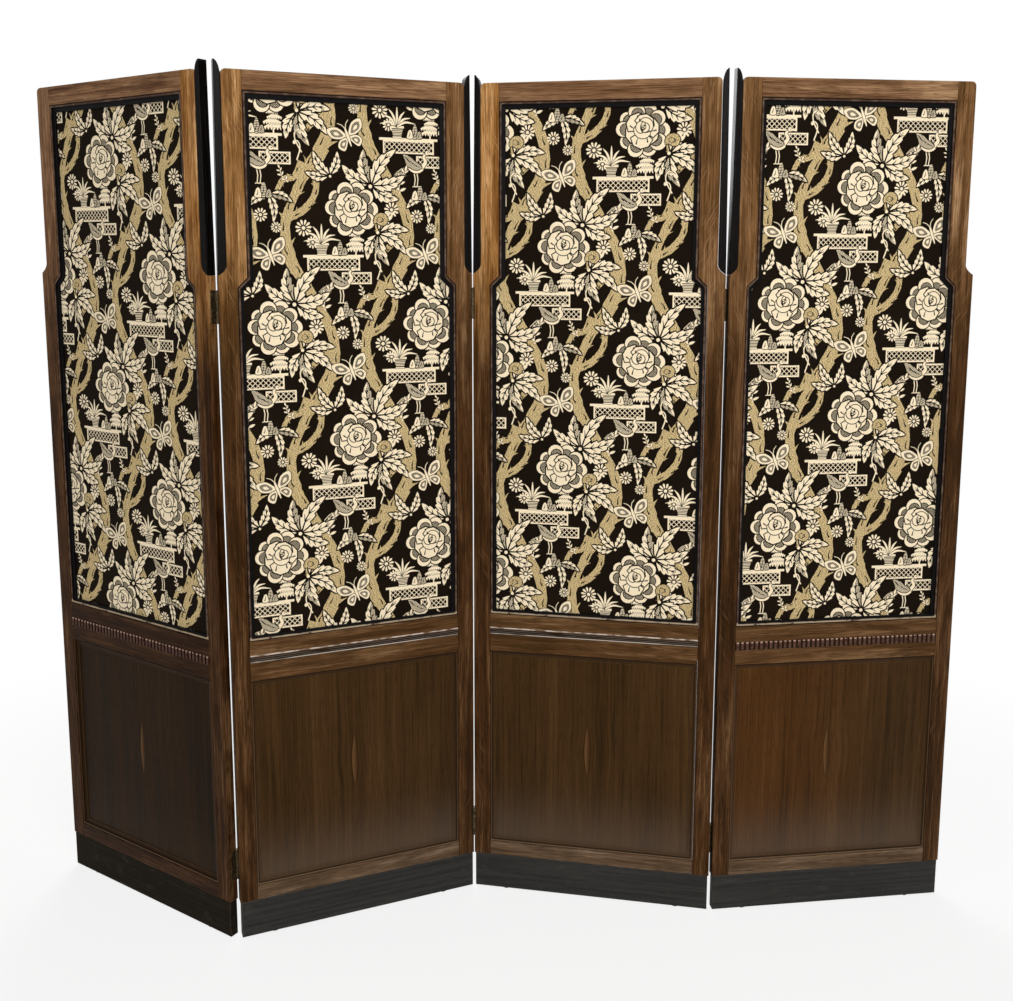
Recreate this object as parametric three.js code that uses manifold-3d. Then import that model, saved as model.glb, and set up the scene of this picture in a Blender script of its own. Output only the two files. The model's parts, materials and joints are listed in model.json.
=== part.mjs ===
// Four-leaf folding screen: oak frames with stretched fabric above and a flat panel below.
// Millimetres, +Z up. Each leaf is drawn upright in its own space: x runs across from its left
// edge, y from its front face (0) to its back face, z up from the floor. The leaves are then
// hung on each other at their fold lines and the whole screen is centred over its footprint.
import * as THREE from 'three';
import { mergeVertices } from 'three/addons/utils/BufferGeometryUtils.js';
import Module from 'manifold-3d';

const wasm = await Module();
wasm.setup();

// Leaf frame
const leafWidth = 524;
const leafHeight = 1780;
const leafThickness = 22;
const lowerStileWidth = 36;
const upperStileWidth = 38.5;
const shoulderWidth = 17;
const shoulderDrop = 390;
const shoulderHeight = 21;
const innerStepDrop = 413;
const innerStepHeight = 19;
const topCornerRadius = 11;
const topRailHeight = 38;
const middleRailTop = 648;
const middleRailBottom = 564;
const bottomRailTop = 114;
const edgeRounding = 0.9;
const edgeRoundingSteps = 1;
const pieceGap = 0.3;
const overrun = 1;

// Stub tenons
const tenonLength = 20;
const tenonThickness = 8;
const tenonShoulder = 7;
const footTenonLength = 30;
const footTenonWidth = 20;

// Plinth and glides
const plinthTop = 82;
const plinthBottom = 3;
const plinthSetIn = 2.5;
const plinthSetBack = 1;
const glideRadius = 7;
const glideFromEdge = 72;

// Fabric panel and the ebonised moulding that holds it
const fabricThickness = 2;
const mouldingSideWidth = 13;
const mouldingTopWidth = 15;
const mouldingBottomWidth = 9.5;
const quirkWidth = 1.4;
const quirkDepth = 2.4;
const beadRadius = 2.3;
const beadSteps = 5;
const beadCrestDepth = 0.4;
const recessDepth = 5;
const lipDepth = 6;
const grooveShare = 0.25;

// Lower panel
const panelThickness = 6;
const panelBeadDepth = 1.2;
const panelBeadRadius = 2;
const panelCoveWidth = 6.5;
const panelCoveDepth = 6.2;
const panelFilletWidth = 1.6;
const panelDropWidth = 0.8;
const coveSteps = 4;

// Strip planted across the middle rail
const stripTop = 614;
const uprightStripHeight = 18;
const levelStripHeight = 12;
const stripLetIn = 3;
const stripProud = 0.9;
const reedDepth = 1.6;
const uprightReedPitch = 10.5;
const levelReedCount = 3;
const reedSteps = 4;

// Black fins in the shoulder notches of the hinged edges
const finCrack = 0.5;
const finTaper = 4;
const finRise = 17;
const finCurveHeight = 32;
const finRounding = 1.6;
const finRoundingSteps = 2;
const curveSteps = 6;

// Hinges: three knuckles, a pin fixed in the outer two, plates let into the leaf edges
const hingeLength = 66;
const hingeBelowShoulder = 28;
const lowerHingeBottom = 127;
const knuckleRadius = 4;
const knuckleStandOff = 1.2;
const plateThickness = 1.6;
const plateWidth = 16;
const pinRadius = 1.8;
const leafEdgeGap = 0.6;
const roundSteps = 18;

// Angle of each fold away from a flat screen
const firstFoldAngle = 55.8;
const secondFoldAngle = 33.2;
const thirdFoldAngle = 17.9;

const finish = (name, color, roughness, metalness = 0) =>
  new THREE.MeshStandardMaterial({ name, color, roughness, metalness });
const oak = finish('oak', 0x84582f, 0.5);
const panelOak = finish('panel_oak', 0x4a301a, 0.5);
const ebonised = finish('ebonised', 0x2c2b28, 0.6);
const lacquer = finish('black_lacquer', 0x121110, 0.2);
const beadBlack = finish('bead_black', 0x2e2a2e, 0.4);
const fabric = finish('fabric', 0x6f5f45, 0.9);
const stripWood = finish('strip_wood', 0x5a2c20, 0.4);
const stripOak = finish('strip_oak', 0x6a4424, 0.45);
const hingeMetal = finish('hinge_metal', 0x4a3d2a, 0.45, 0.8);

// Sizes that follow from the ones above
const upperInnerEdge = shoulderWidth + upperStileWidth;
const topRailBottom = leafHeight - topRailHeight;
const shoulderBottom = leafHeight - shoulderDrop;
const shoulderTop = shoulderBottom + shoulderHeight;
const innerStepBottom = leafHeight - innerStepDrop;
const innerStepTop = innerStepBottom + innerStepHeight;
const finTop = leafHeight + finRise;
const middleDepth = leafThickness / 2;
const tenonFront = middleDepth - tenonThickness / 2;
const tenonBack = middleDepth + tenonThickness / 2;
const beadWidth = quirkWidth + 2 * beadRadius;
const foldLineStep = leafEdgeGap / 2;
const knuckleLength = (hingeLength - 2 * pieceGap) / 3;
const upperHingeBottom = shoulderBottom - hingeBelowShoulder - hingeLength;

// Solids and back again
function solidOf(geometry) {
  const bare = geometry.clone();
  bare.deleteAttribute('normal');
  bare.deleteAttribute('uv');
  const merged = mergeVertices(bare, 1e-4);
  return new wasm.Manifold(new wasm.Mesh({
    numProp: 3,
    vertProperties: new Float32Array(merged.attributes.position.array),
    triVerts: new Uint32Array(merged.index.array),
  }));
}

function geometryOf(solid) {
  const { vertProperties, triVerts } = solid.getMesh();
  const geometry = new THREE.BufferGeometry();
  geometry.setAttribute('position', new THREE.BufferAttribute(vertProperties, 3));
  geometry.setIndex(new THREE.BufferAttribute(triVerts, 1));
  return geometry;
}

function shaped(base, { add = [], remove = [] }) {
  const withAdded = add.reduce((solid, extra) => solid.add(solidOf(extra)), solidOf(base));
  return geometryOf(remove.reduce((solid, cutter) => solid.subtract(solidOf(cutter)), withAdded));
}

// Box between two opposite corners, given in any order
function block([x1, y1, z1], [x2, y2, z2]) {
  const box = new THREE.BoxGeometry(Math.abs(x2 - x1), Math.abs(y2 - y1), Math.abs(z2 - z1));
  return box.translate((x1 + x2) / 2, (y1 + y2) / 2, (z1 + z2) / 2);
}

function uprightCylinder(x, y, bottom, top, radius) {
  const cylinder = new THREE.CylinderGeometry(radius, radius, top - bottom, roundSteps);
  return cylinder.rotateX(Math.PI / 2).translate(x, y, (bottom + top) / 2);
}

// Board cut to an upright outline of [x, z] points, front and back arrises softened
function board(outline, front, back, rounding, roundingSteps = edgeRoundingSteps) {
  const shape = new THREE.Shape(outline.map(([x, z]) => new THREE.Vector2(x, z)));
  const extruded = new THREE.ExtrudeGeometry(shape, {
    depth: back - front - 2 * rounding,
    bevelEnabled: rounding > 0,
    bevelThickness: rounding,
    bevelSize: rounding,
    bevelOffset: -rounding,
    bevelSegments: roundingSteps,
  });
  return extruded.rotateX(Math.PI / 2).translate(0, back - rounding, 0);
}

function rectangle(left, right, bottom, top) {
  return [[left, bottom], [right, bottom], [right, top], [left, top]];
}

// Points of a quadratic bend from start to end
function bend(start, control, end) {
  const [from, by, to] = [start, control, end].map(([x, z]) => new THREE.Vector2(x, z));
  return new THREE.QuadraticBezierCurve(from, by, to).getPoints(curveSteps).map((p) => [p.x, p.y]);
}

// Outline moved in from each of its sides by that side's own distance
function insetOutline(outline, distances) {
  const count = outline.length;
  const sides = outline.map(([x, z], i) => {
    const [nextX, nextZ] = outline[(i + 1) % count];
    const length = Math.hypot(nextX - x, nextZ - z);
    const normal = [-(nextZ - z) / length, (nextX - x) / length];
    return { normal, reach: normal[0] * x + normal[1] * z + distances[i] };
  });
  return outline.map((_, i) => {
    const before = sides[(i + count - 1) % count];
    const after = sides[i];
    const turn = before.normal[0] * after.normal[1] - before.normal[1] * after.normal[0];
    return [
      (before.reach * after.normal[1] - after.reach * before.normal[1]) / turn,
      (after.reach * before.normal[0] - before.reach * after.normal[0]) / turn,
    ];
  });
}

// Skin over a run of outlines that lie at given depths, each mitred at its corners.
// A closed run makes a ring; an open one is a slab, closed by a flat face at both ends.
function mitred(rings, closed) {
  const corners = rings[0].outline.length;
  const positions = rings.flatMap(({ outline, depth }) => outline.flatMap(([x, z]) => [x, depth, z]));
  const faces = [];
  const lastRing = closed ? rings.length : rings.length - 1;
  for (let ring = 0; ring < lastRing; ring += 1) {
    const here = ring * corners;
    const next = ((ring + 1) % rings.length) * corners;
    for (let corner = 0; corner < corners; corner += 1) {
      const other = (corner + 1) % corners;
      faces.push(here + corner, next + corner, next + other);
      faces.push(here + corner, next + other, here + other);
    }
  }
  if (!closed) {
    const flat = rings[0].outline.map(([x, z]) => new THREE.Vector2(x, z));
    const lastStart = (rings.length - 1) * corners;
    for (const [a, b, c] of THREE.ShapeUtils.triangulateShape(flat, [])) {
      faces.push(a, b, c);
      faces.push(lastStart + a, lastStart + c, lastStart + b);
    }
  }
  const geometry = new THREE.BufferGeometry();
  geometry.setAttribute('position', new THREE.Float32BufferAttribute(positions, 3));
  geometry.setIndex(faces);
  return geometry;
}

// Edges of a leaf: how far in from an edge a point lies, and which face the knuckles are on
const leftEdge = { name: 'left', x: (distance) => distance };
const rightEdge = { name: 'right', x: (distance) => leafWidth - distance };
const depthFrom = { back: (depth) => leafThickness - depth, front: (depth) => depth };
const hingeBottoms = [['upper', upperHingeBottom], ['lower', lowerHingeBottom]];

// Outline of the shoulder from the upper edge down to its corner, set off by a gap
function shoulderCurve(gap) {
  return bend(
    [shoulderWidth - gap, shoulderTop + gap],
    [shoulderWidth - gap, (shoulderTop + shoulderBottom) / 2 + gap],
    [0, shoulderBottom + 2 * gap],
  );
}

function plateRecess(edge, knuckleSide, bottom) {
  const depth = depthFrom[knuckleSide];
  return block(
    [edge.x(-overrun), depth(plateWidth), bottom - pieceGap],
    [edge.x(plateThickness + pieceGap), depth(-overrun), bottom + hingeLength + pieceGap],
  );
}

// Round hollow in which the knuckles of a hinge turn
function knuckleHollow(edge, knuckleSide, bottom) {
  const low = bottom - pieceGap;
  const high = bottom + hingeLength + pieceGap;
  const axisY = depthFrom[knuckleSide](-knuckleStandOff);
  return uprightCylinder(edge.x(-foldLineStep), axisY, low, high, knuckleRadius + pieceGap);
}

function mortise(edge, inner, bottom, top) {
  return block(
    [edge.x(inner - tenonLength - pieceGap), tenonFront - pieceGap, bottom + tenonShoulder - pieceGap],
    [edge.x(inner + overrun), tenonBack + pieceGap, top - tenonShoulder + pieceGap],
  );
}

function stile(edge, knuckleSide) {
  const topCorner = bend(
    [shoulderWidth + topCornerRadius, leafHeight],
    [shoulderWidth, leafHeight],
    [shoulderWidth, leafHeight - topCornerRadius],
  );
  const outline = [
    [0, plinthTop + pieceGap],
    [lowerStileWidth, plinthTop + pieceGap],
    [lowerStileWidth, innerStepBottom],
    [upperInnerEdge, innerStepTop],
    [upperInnerEdge, leafHeight],
    ...topCorner,
    ...shoulderCurve(0),
  ].map(([distance, z]) => [edge.x(distance), z]);
  const footMiddle = lowerStileWidth / 2;
  const foot = block(
    [edge.x(footMiddle - footTenonWidth / 2), tenonFront, plinthTop - footTenonLength],
    [edge.x(footMiddle + footTenonWidth / 2), tenonBack, plinthTop + tenonShoulder],
  );
  const recesses = knuckleSide
    ? hingeBottoms.flatMap(([, bottom]) =>
      [plateRecess(edge, knuckleSide, bottom), knuckleHollow(edge, knuckleSide, bottom)])
    : [];
  return shaped(board(outline, 0, leafThickness, edgeRounding), {
    add: [foot],
    remove: [
      mortise(edge, upperInnerEdge, topRailBottom, leafHeight),
      mortise(edge, lowerStileWidth, middleRailBottom, middleRailTop),
      mortise(edge, lowerStileWidth, plinthTop, bottomRailTop),
      ...recesses,
    ],
  });
}

function rail(inner, bottom, top, remove = []) {
  const left = inner + pieceGap;
  const right = leafWidth - inner - pieceGap;
  const outline = rectangle(left, right, bottom, top);
  const tenon = block(
    [left - tenonLength, tenonFront, bottom + tenonShoulder],
    [right + tenonLength, tenonBack, top - tenonShoulder],
  );
  return shaped(board(outline, 0, leafThickness, edgeRounding), { add: [tenon], remove });
}

function middleRail(stripHeight) {
  const housing = block(
    [lowerStileWidth, -overrun, stripTop - stripHeight - pieceGap],
    [leafWidth - lowerStileWidth, stripLetIn, stripTop + pieceGap],
  );
  return rail(lowerStileWidth, middleRailBottom, middleRailTop, [housing]);
}

function plinth() {
  const outline = rectangle(plinthSetIn, leafWidth - plinthSetIn, plinthBottom, plinthTop);
  const glides = [leftEdge, rightEdge].map((edge) =>
    uprightCylinder(edge.x(glideFromEdge), middleDepth, 0, plinthBottom + overrun, glideRadius));
  const footMortises = [leftEdge, rightEdge].map((edge) => block(
    [edge.x(lowerStileWidth / 2 - footTenonWidth / 2 - pieceGap), tenonFront - pieceGap,
      plinthTop - footTenonLength - pieceGap],
    [edge.x(lowerStileWidth / 2 + footTenonWidth / 2 + pieceGap), tenonBack + pieceGap,
      plinthTop + overrun],
  ));
  return shaped(board(outline, plinthSetBack, leafThickness - plinthSetBack, edgeRounding), {
    add: glides,
    remove: footMortises,
  });
}

// Opening of the frame above the middle rail, from its lower left corner anticlockwise
const opening = [
  [lowerStileWidth, middleRailTop],
  [leafWidth - lowerStileWidth, middleRailTop],
  [leafWidth - lowerStileWidth, innerStepBottom],
  [leafWidth - upperInnerEdge, innerStepTop],
  [leafWidth - upperInnerEdge, topRailBottom],
  [upperInnerEdge, topRailBottom],
  [upperInnerEdge, innerStepTop],
  [lowerStileWidth, innerStepBottom],
];
const mouldingWidths = opening.map((_, side) =>
  ({ 0: mouldingBottomWidth, 4: mouldingTopWidth })[side] ?? mouldingSideWidth);

// Opening moved in by a distance plus a share of what the moulding measures past its bead
function openingInset(distance, share) {
  return insetOutline(opening, mouldingWidths.map((width) => distance + share * (width - beadWidth)));
}

function fabricMoulding() {
  const beadCentre = quirkWidth + beadRadius;
  const beadArc = Array.from({ length: beadSteps + 1 }, (_, step) => {
    const turn = Math.PI * (1 - step / beadSteps);
    const depth = beadCrestDepth + beadRadius * (1 - Math.sin(turn));
    return [beadCentre + beadRadius * Math.cos(turn), 0, depth];
  });
  const grooveFace = middleDepth - fabricThickness / 2 - pieceGap;
  const frontHalf = [
    [pieceGap, 0, quirkDepth],
    ...beadArc,
    [beadWidth, 0, recessDepth],
    [beadWidth, 1, lipDepth],
    [beadWidth, 1, grooveFace],
    [beadWidth, grooveShare, grooveFace],
  ];
  const backHalf = frontHalf.map(([distance, share, depth]) => [distance, share, leafThickness - depth]);
  const profile = [...frontHalf, ...backHalf.reverse()];
  const rings = profile.map(([distance, share, depth]) =>
    ({ outline: openingInset(distance, share), depth }));
  return mitred(rings.reverse(), true);
}

function fabricPanel() {
  const halfThickness = fabricThickness / 2;
  const outline = openingInset(beadWidth + pieceGap, grooveShare);
  return board(outline, middleDepth - halfThickness, middleDepth + halfThickness, 0);
}

function lowerPanel() {
  const outer = rectangle(lowerStileWidth, leafWidth - lowerStileWidth, bottomRailTop, middleRailBottom);
  const inset = (distance) => insetOutline(outer, outer.map(() => distance));
  const beadEnd = pieceGap + 2 * panelBeadRadius;
  const bead = Array.from({ length: beadSteps + 1 }, (_, step) => {
    const turn = Math.PI * (1 - step / beadSteps);
    const depth = panelBeadDepth + panelBeadRadius * (1 - Math.sin(turn));
    return [pieceGap + panelBeadRadius * (1 + Math.cos(turn)), depth];
  });
  const cove = Array.from({ length: coveSteps }, (_, step) => {
    const turn = (Math.PI / 2) * ((step + 1) / coveSteps);
    const start = panelBeadDepth + panelBeadRadius;
    return [
      beadEnd + panelCoveWidth * (1 - Math.cos(turn)),
      start + (panelCoveDepth - start) * Math.sin(turn),
    ];
  });
  const filletEnd = beadEnd + panelCoveWidth + panelFilletWidth;
  const fieldDepth = middleDepth - panelThickness / 2;
  const front = [...bead, ...cove, [filletEnd, panelCoveDepth], [filletEnd + panelDropWidth, fieldDepth]];
  const back = front.map(([distance, depth]) => [distance, leafThickness - depth]);
  const profile = [...front.reverse(), ...back];
  return mitred(profile.map(([distance, depth]) => ({ outline: inset(distance), depth })), false);
}

// Reeded strip: a row of half-round reeds across it, or a few along it
function reededStrip(kind) {
  const left = lowerStileWidth + pieceGap;
  const right = leafWidth - lowerStileWidth - pieceGap;
  const height = kind === 'upright' ? uprightStripHeight : levelStripHeight;
  const run = kind === 'upright' ? right - left : height;
  const count = kind === 'upright' ? Math.round(run / uprightReedPitch) : levelReedCount;
  const base = stripLetIn - pieceGap;
  const reeds = Array.from({ length: count * reedSteps + 1 }, (_, step) => {
    const turn = Math.PI * ((step % reedSteps) / reedSteps);
    return [(run * step) / (count * reedSteps), -stripProud + reedDepth * (1 - Math.sin(turn))];
  });
  const section = [[0, base], ...reeds, [run, base]];
  if (kind === 'upright') {
    const shape = new THREE.Shape(section.map(([along, depth]) => new THREE.Vector2(along, depth)));
    return new THREE.ExtrudeGeometry(shape, { depth: height, bevelEnabled: false })
      .translate(left, 0, stripTop - height);
  }
  const shape = new THREE.Shape(section.map(([along, depth]) => new THREE.Vector2(depth, along)));
  return new THREE.ExtrudeGeometry(shape, { depth: right - left, bevelEnabled: false })
    .rotateX(Math.PI / 2)
    .rotateZ(Math.PI / 2)
    .translate(left, 0, stripTop - height);
}

function fin(edge) {
  const finWidth = shoulderWidth - finCrack;
  const crown = Array.from({ length: curveSteps + 1 }, (_, step) => {
    const turn = (Math.PI / 2) * (step / curveSteps);
    const distance = finTaper + (finWidth - finTaper) * Math.sin(turn);
    return [distance, finTop - finCurveHeight * (1 - Math.cos(turn))];
  });
  const outline = [...crown, ...shoulderCurve(finCrack)].map(([distance, z]) => [edge.x(distance), z]);
  return board(outline, 0, leafThickness, finRounding, finRoundingSteps);
}

// One half of a hinge. The outer half carries the pin and two knuckles, the inner half one.
function hingeFlap(edge, knuckleSide, bottom, isOuter) {
  const depth = depthFrom[knuckleSide];
  const axisX = edge.x(-foldLineStep);
  const axisY = depth(-knuckleStandOff);
  const step = knuckleLength + pieceGap;
  const knuckleBottoms = isOuter ? [bottom, bottom + 2 * step] : [bottom + step];
  const tabs = knuckleBottoms.map((low) => block(
    [edge.x(0), depth(knuckleRadius), low],
    [edge.x(plateThickness), axisY, low + knuckleLength],
  ));
  const knuckles = knuckleBottoms.map((low) =>
    uprightCylinder(axisX, axisY, low, low + knuckleLength, knuckleRadius));
  const whole = block(
    [edge.x(0), depth(0), bottom],
    [edge.x(plateThickness), depth(plateWidth - pieceGap), bottom + hingeLength],
  );
  const plate = shaped(whole, { remove: [knuckleHollow(edge, knuckleSide, bottom)] });
  const pin = uprightCylinder(axisX, axisY, bottom, bottom + hingeLength, pinRadius);
  const bore = uprightCylinder(axisX, axisY, bottom, bottom + hingeLength, pinRadius + pieceGap);
  return isOuter
    ? shaped(plate, { add: [...tabs, ...knuckles, pin] })
    : shaped(plate, { add: [...tabs, ...knuckles], remove: [bore] });
}

// The leaves, left to right, and the fold on the right of each
const leaves = [
  { name: 'leaf_1', strip: 'upright' },
  { name: 'leaf_2', strip: 'level' },
  { name: 'leaf_3', strip: 'level' },
  { name: 'leaf_4', strip: 'upright' },
];
const folds = [
  { name: 'fold_1_2', knuckleSide: 'back', turn: firstFoldAngle },
  { name: 'fold_2_3', knuckleSide: 'front', turn: -secondFoldAngle },
  { name: 'fold_3_4', knuckleSide: 'back', turn: thirdFoldAngle },
];

function piece(name, geometry, material) {
  const mesh = new THREE.Mesh(geometry, material);
  mesh.name = name;
  return mesh;
}

function hingedEdgePieces(leafName, edge, fold) {
  const flaps = hingeBottoms.map(([level, bottom]) => piece(
    `${fold.name}_${level}_hinge_${edge === rightEdge ? 'left' : 'right'}_flap`,
    hingeFlap(edge, fold.knuckleSide, bottom, edge === rightEdge),
    hingeMetal,
  ));
  return [piece(`${leafName}_${edge.name}_fin`, fin(edge), lacquer), ...flaps];
}

function buildLeaf({ name, strip }, leftFold, rightFold) {
  const group = new THREE.Group();
  group.name = name;
  const stripHeight = strip === 'upright' ? uprightStripHeight : levelStripHeight;
  group.add(
    piece(`${name}_left_stile`, stile(leftEdge, leftFold?.knuckleSide), oak),
    piece(`${name}_right_stile`, stile(rightEdge, rightFold?.knuckleSide), oak),
    piece(`${name}_top_rail`, rail(upperInnerEdge, topRailBottom, leafHeight), oak),
    piece(`${name}_middle_rail`, middleRail(stripHeight), oak),
    piece(`${name}_bottom_rail`, rail(lowerStileWidth, plinthTop + pieceGap, bottomRailTop), oak),
    piece(`${name}_plinth`, plinth(), ebonised),
    piece(`${name}_fabric_moulding`, fabricMoulding(), beadBlack),
    piece(`${name}_fabric_panel`, fabricPanel(), fabric),
    piece(`${name}_lower_panel`, lowerPanel(), panelOak),
    piece(`${name}_reeded_strip`, reededStrip(strip), strip === 'upright' ? stripWood : stripOak),
  );
  if (leftFold) group.add(...hingedEdgePieces(name, leftEdge, leftFold));
  if (rightFold) group.add(...hingedEdgePieces(name, rightEdge, rightFold));
  return group;
}

// Each fold turns about its knuckles, and the next leaf hangs on it
function hangOn(leaf, fold, nextLeaf) {
  const axisY = depthFrom[fold.knuckleSide](-knuckleStandOff);
  const hinge = new THREE.Group();
  hinge.name = fold.name;
  hinge.position.set(leafWidth + foldLineStep, axisY, 0);
  hinge.rotation.z = THREE.MathUtils.degToRad(fold.turn);
  nextLeaf.position.set(foldLineStep, -axisY, 0);
  hinge.add(nextLeaf);
  leaf.add(hinge);
}

// Angle of the first leaf, so that the camera side of the screen faces -Y
const firstLeafAngle = -33.27;
const built = leaves.map((leaf, i) => buildLeaf(leaf, folds[i - 1], folds[i]));
folds.forEach((fold, i) => hangOn(built[i], fold, built[i + 1]));
built[0].rotation.z = THREE.MathUtils.degToRad(firstLeafAngle);

const screen = new THREE.Group();
screen.add(built[0]);
screen.updateMatrixWorld(true);
const footprint = new THREE.Box3().setFromObject(screen, true).getCenter(new THREE.Vector3());
screen.position.set(-footprint.x, -footprint.y, 0);
screen.updateMatrixWorld(true);

export default screen;
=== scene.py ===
"""Looks of a four-leaf oak folding screen with woven fabric panels, made round its solid parts.

Lengths are metres, as the frame's are, but the woven pattern is drawn in millimetres. In a leaf's
own space x runs across from its left edge, y from its front face to its back, and z up.
"""

import cmath
import json
import math
import random

import bmesh
import bpy
import numpy as np
from mathutils import Matrix, Vector
from mathutils.geometry import delaunay_2d_cdt

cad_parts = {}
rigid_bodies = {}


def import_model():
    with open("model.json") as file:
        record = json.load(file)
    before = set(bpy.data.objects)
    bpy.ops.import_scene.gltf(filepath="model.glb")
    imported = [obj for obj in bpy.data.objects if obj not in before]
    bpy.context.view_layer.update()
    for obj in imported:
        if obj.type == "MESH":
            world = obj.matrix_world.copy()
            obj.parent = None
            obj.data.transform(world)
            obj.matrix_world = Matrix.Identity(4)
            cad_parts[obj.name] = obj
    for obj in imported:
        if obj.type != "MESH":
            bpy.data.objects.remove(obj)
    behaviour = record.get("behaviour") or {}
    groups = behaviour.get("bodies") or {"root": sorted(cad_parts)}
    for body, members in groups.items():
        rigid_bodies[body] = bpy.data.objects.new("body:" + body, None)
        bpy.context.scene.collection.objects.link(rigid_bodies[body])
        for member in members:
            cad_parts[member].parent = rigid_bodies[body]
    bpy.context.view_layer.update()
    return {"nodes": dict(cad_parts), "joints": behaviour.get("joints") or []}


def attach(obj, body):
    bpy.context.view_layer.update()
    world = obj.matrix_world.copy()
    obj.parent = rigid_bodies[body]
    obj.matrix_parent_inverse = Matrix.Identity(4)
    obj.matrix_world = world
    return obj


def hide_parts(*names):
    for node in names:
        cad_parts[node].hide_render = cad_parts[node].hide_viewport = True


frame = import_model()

nodes = frame["nodes"]

# Leaf sizes
LEAF_WIDTH = 0.524
LEAF_THICKNESS = 0.022
LOWER_STILE = 0.036
PANEL_BOTTOM = 0.114
PANEL_TOP = 0.564
STRIP_PROUD = 0.0009
STRIP_TOP = 0.614
SILL_TOP = 0.6575
GLIDE_TOP = 0.003

# Folds
EDGE_GAP = 0.0006
KNUCKLE_STAND_OFF = 0.0012
FOLD_FACES = {"fold_1_2": "back", "fold_2_3": "front", "fold_3_4": "back"}
FOLD_LEAVES = {"fold_1_2": ("leaf_1", "leaf_2"), "fold_2_3": ("leaf_2", "leaf_3"),
               "fold_3_4": ("leaf_3", "leaf_4")}
HINGE_BOTTOMS = {"upper": 1.296, "lower": 0.127}

# Camera, fitted to the photograph, whose optical axis lies above its middle
PHOTO_WIDTH, PHOTO_HEIGHT = 1013, 1001
OPTICAL_AXIS_ROW = 406.5
CAMERA_PLACE = (0.0222, -2.3022, 1.4443)
CAMERA_PITCH = math.radians(-8.16)
CAMERA_ROLL = math.radians(-0.063)
CAMERA_LENS = 39.3
SENSOR_WIDTH = 36


# ------------ leaves


def fold_point(side, face):
    """Where the fold line at a side of a leaf stands in the leaf's own space."""
    x = -EDGE_GAP / 2 if side == "left" else LEAF_WIDTH + EDGE_GAP / 2
    y = LEAF_THICKNESS + KNUCKLE_STAND_OFF if face == "back" else -KNUCKLE_STAND_OFF
    return Vector((x, y, 0))


def leaf_spaces():
    """Matrix from each leaf's own space to the whole screen's, from where the folds stand."""
    joints = {joint["name"]: joint for joint in frame["joints"]}
    lines = {name: Vector(joint["pos_m"]) for name, joint in joints.items()}
    seen = lines["fold_2_3"] - lines["fold_1_2"]
    drawn = fold_point("right", "front") - fold_point("left", "back")
    heading = {"leaf_2": math.atan2(seen.y, seen.x) - math.atan2(drawn.y, drawn.x)}
    for name in FOLD_LEAVES:
        joint = joints[name]
        flat = joint["axis"][2] * math.radians(joint["range_deg"][0])
        heading[joint["child"]] = heading[joint["parent"]] - flat
    held = {"leaf_1": ("fold_1_2", "right"), "leaf_2": ("fold_1_2", "left"),
            "leaf_3": ("fold_2_3", "left"), "leaf_4": ("fold_3_4", "left")}
    spaces = {}
    for leaf, (fold, side) in held.items():
        turn = Matrix.Rotation(heading[leaf], 4, "Z")
        corner = lines[fold] - turn @ fold_point(side, FOLD_FACES[fold])
        spaces[leaf] = Matrix.Translation(corner) @ turn
    return spaces


SPACES = leaf_spaces()


def add_object(name, data):
    made = bpy.data.objects.new(name, data)
    bpy.context.scene.collection.objects.link(made)
    return made


def add_piece(name, mesh, space, leaf):
    """Object made of a mesh, placed by a matrix, that rides on a leaf."""
    piece = add_object(name, mesh)
    piece.matrix_world = space
    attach(piece, leaf)
    return piece


# ------------ camera


def place_camera():
    data = bpy.data.cameras.new("camera")
    data.sensor_fit = "HORIZONTAL"
    data.sensor_width = SENSOR_WIDTH
    data.lens = CAMERA_LENS
    data.shift_y = (OPTICAL_AXIS_ROW - PHOTO_HEIGHT / 2) / PHOTO_WIDTH
    camera = add_object("camera", data)
    camera.location = CAMERA_PLACE
    camera.rotation_euler = (math.radians(90) + CAMERA_PITCH, CAMERA_ROLL, 0)
    bpy.context.scene.camera = camera


# ------------ shader building


class Signal:
    """A shader socket; sums and products of it add the Math nodes for them."""

    def __init__(self, finish, socket):
        self.finish = finish
        self.socket = socket

    def maths(self, operation, first, second):
        return self.finish.node("Math", {"operation": operation}, {0: first, 1: second})

    def __add__(self, other):
        return self.maths("ADD", self, other)

    __radd__ = __add__

    def __sub__(self, other):
        return self.maths("SUBTRACT", self, other)

    def __rsub__(self, other):
        return self.maths("SUBTRACT", other, self)

    def __mul__(self, other):
        return self.maths("MULTIPLY", self, other)

    __rmul__ = __mul__

    def least(self, other):
        return self.maths("MINIMUM", self, other)

    def most(self, other):
        return self.maths("MAXIMUM", self, other)

    def __abs__(self):
        return self.finish.node("Math", {"operation": "ABSOLUTE"}, {0: self})

    def also(self, output):
        """Another output of the same node."""
        return Signal(self.finish, self.socket.node.outputs[output])

    def ramp(self, low, high):
        """0 below low, 1 above high and a soft step between them."""
        settings = {"interpolation_type": "SMOOTHSTEP"}
        return self.finish.node("MapRange", settings, {0: self, 1: low, 2: high})


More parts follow.
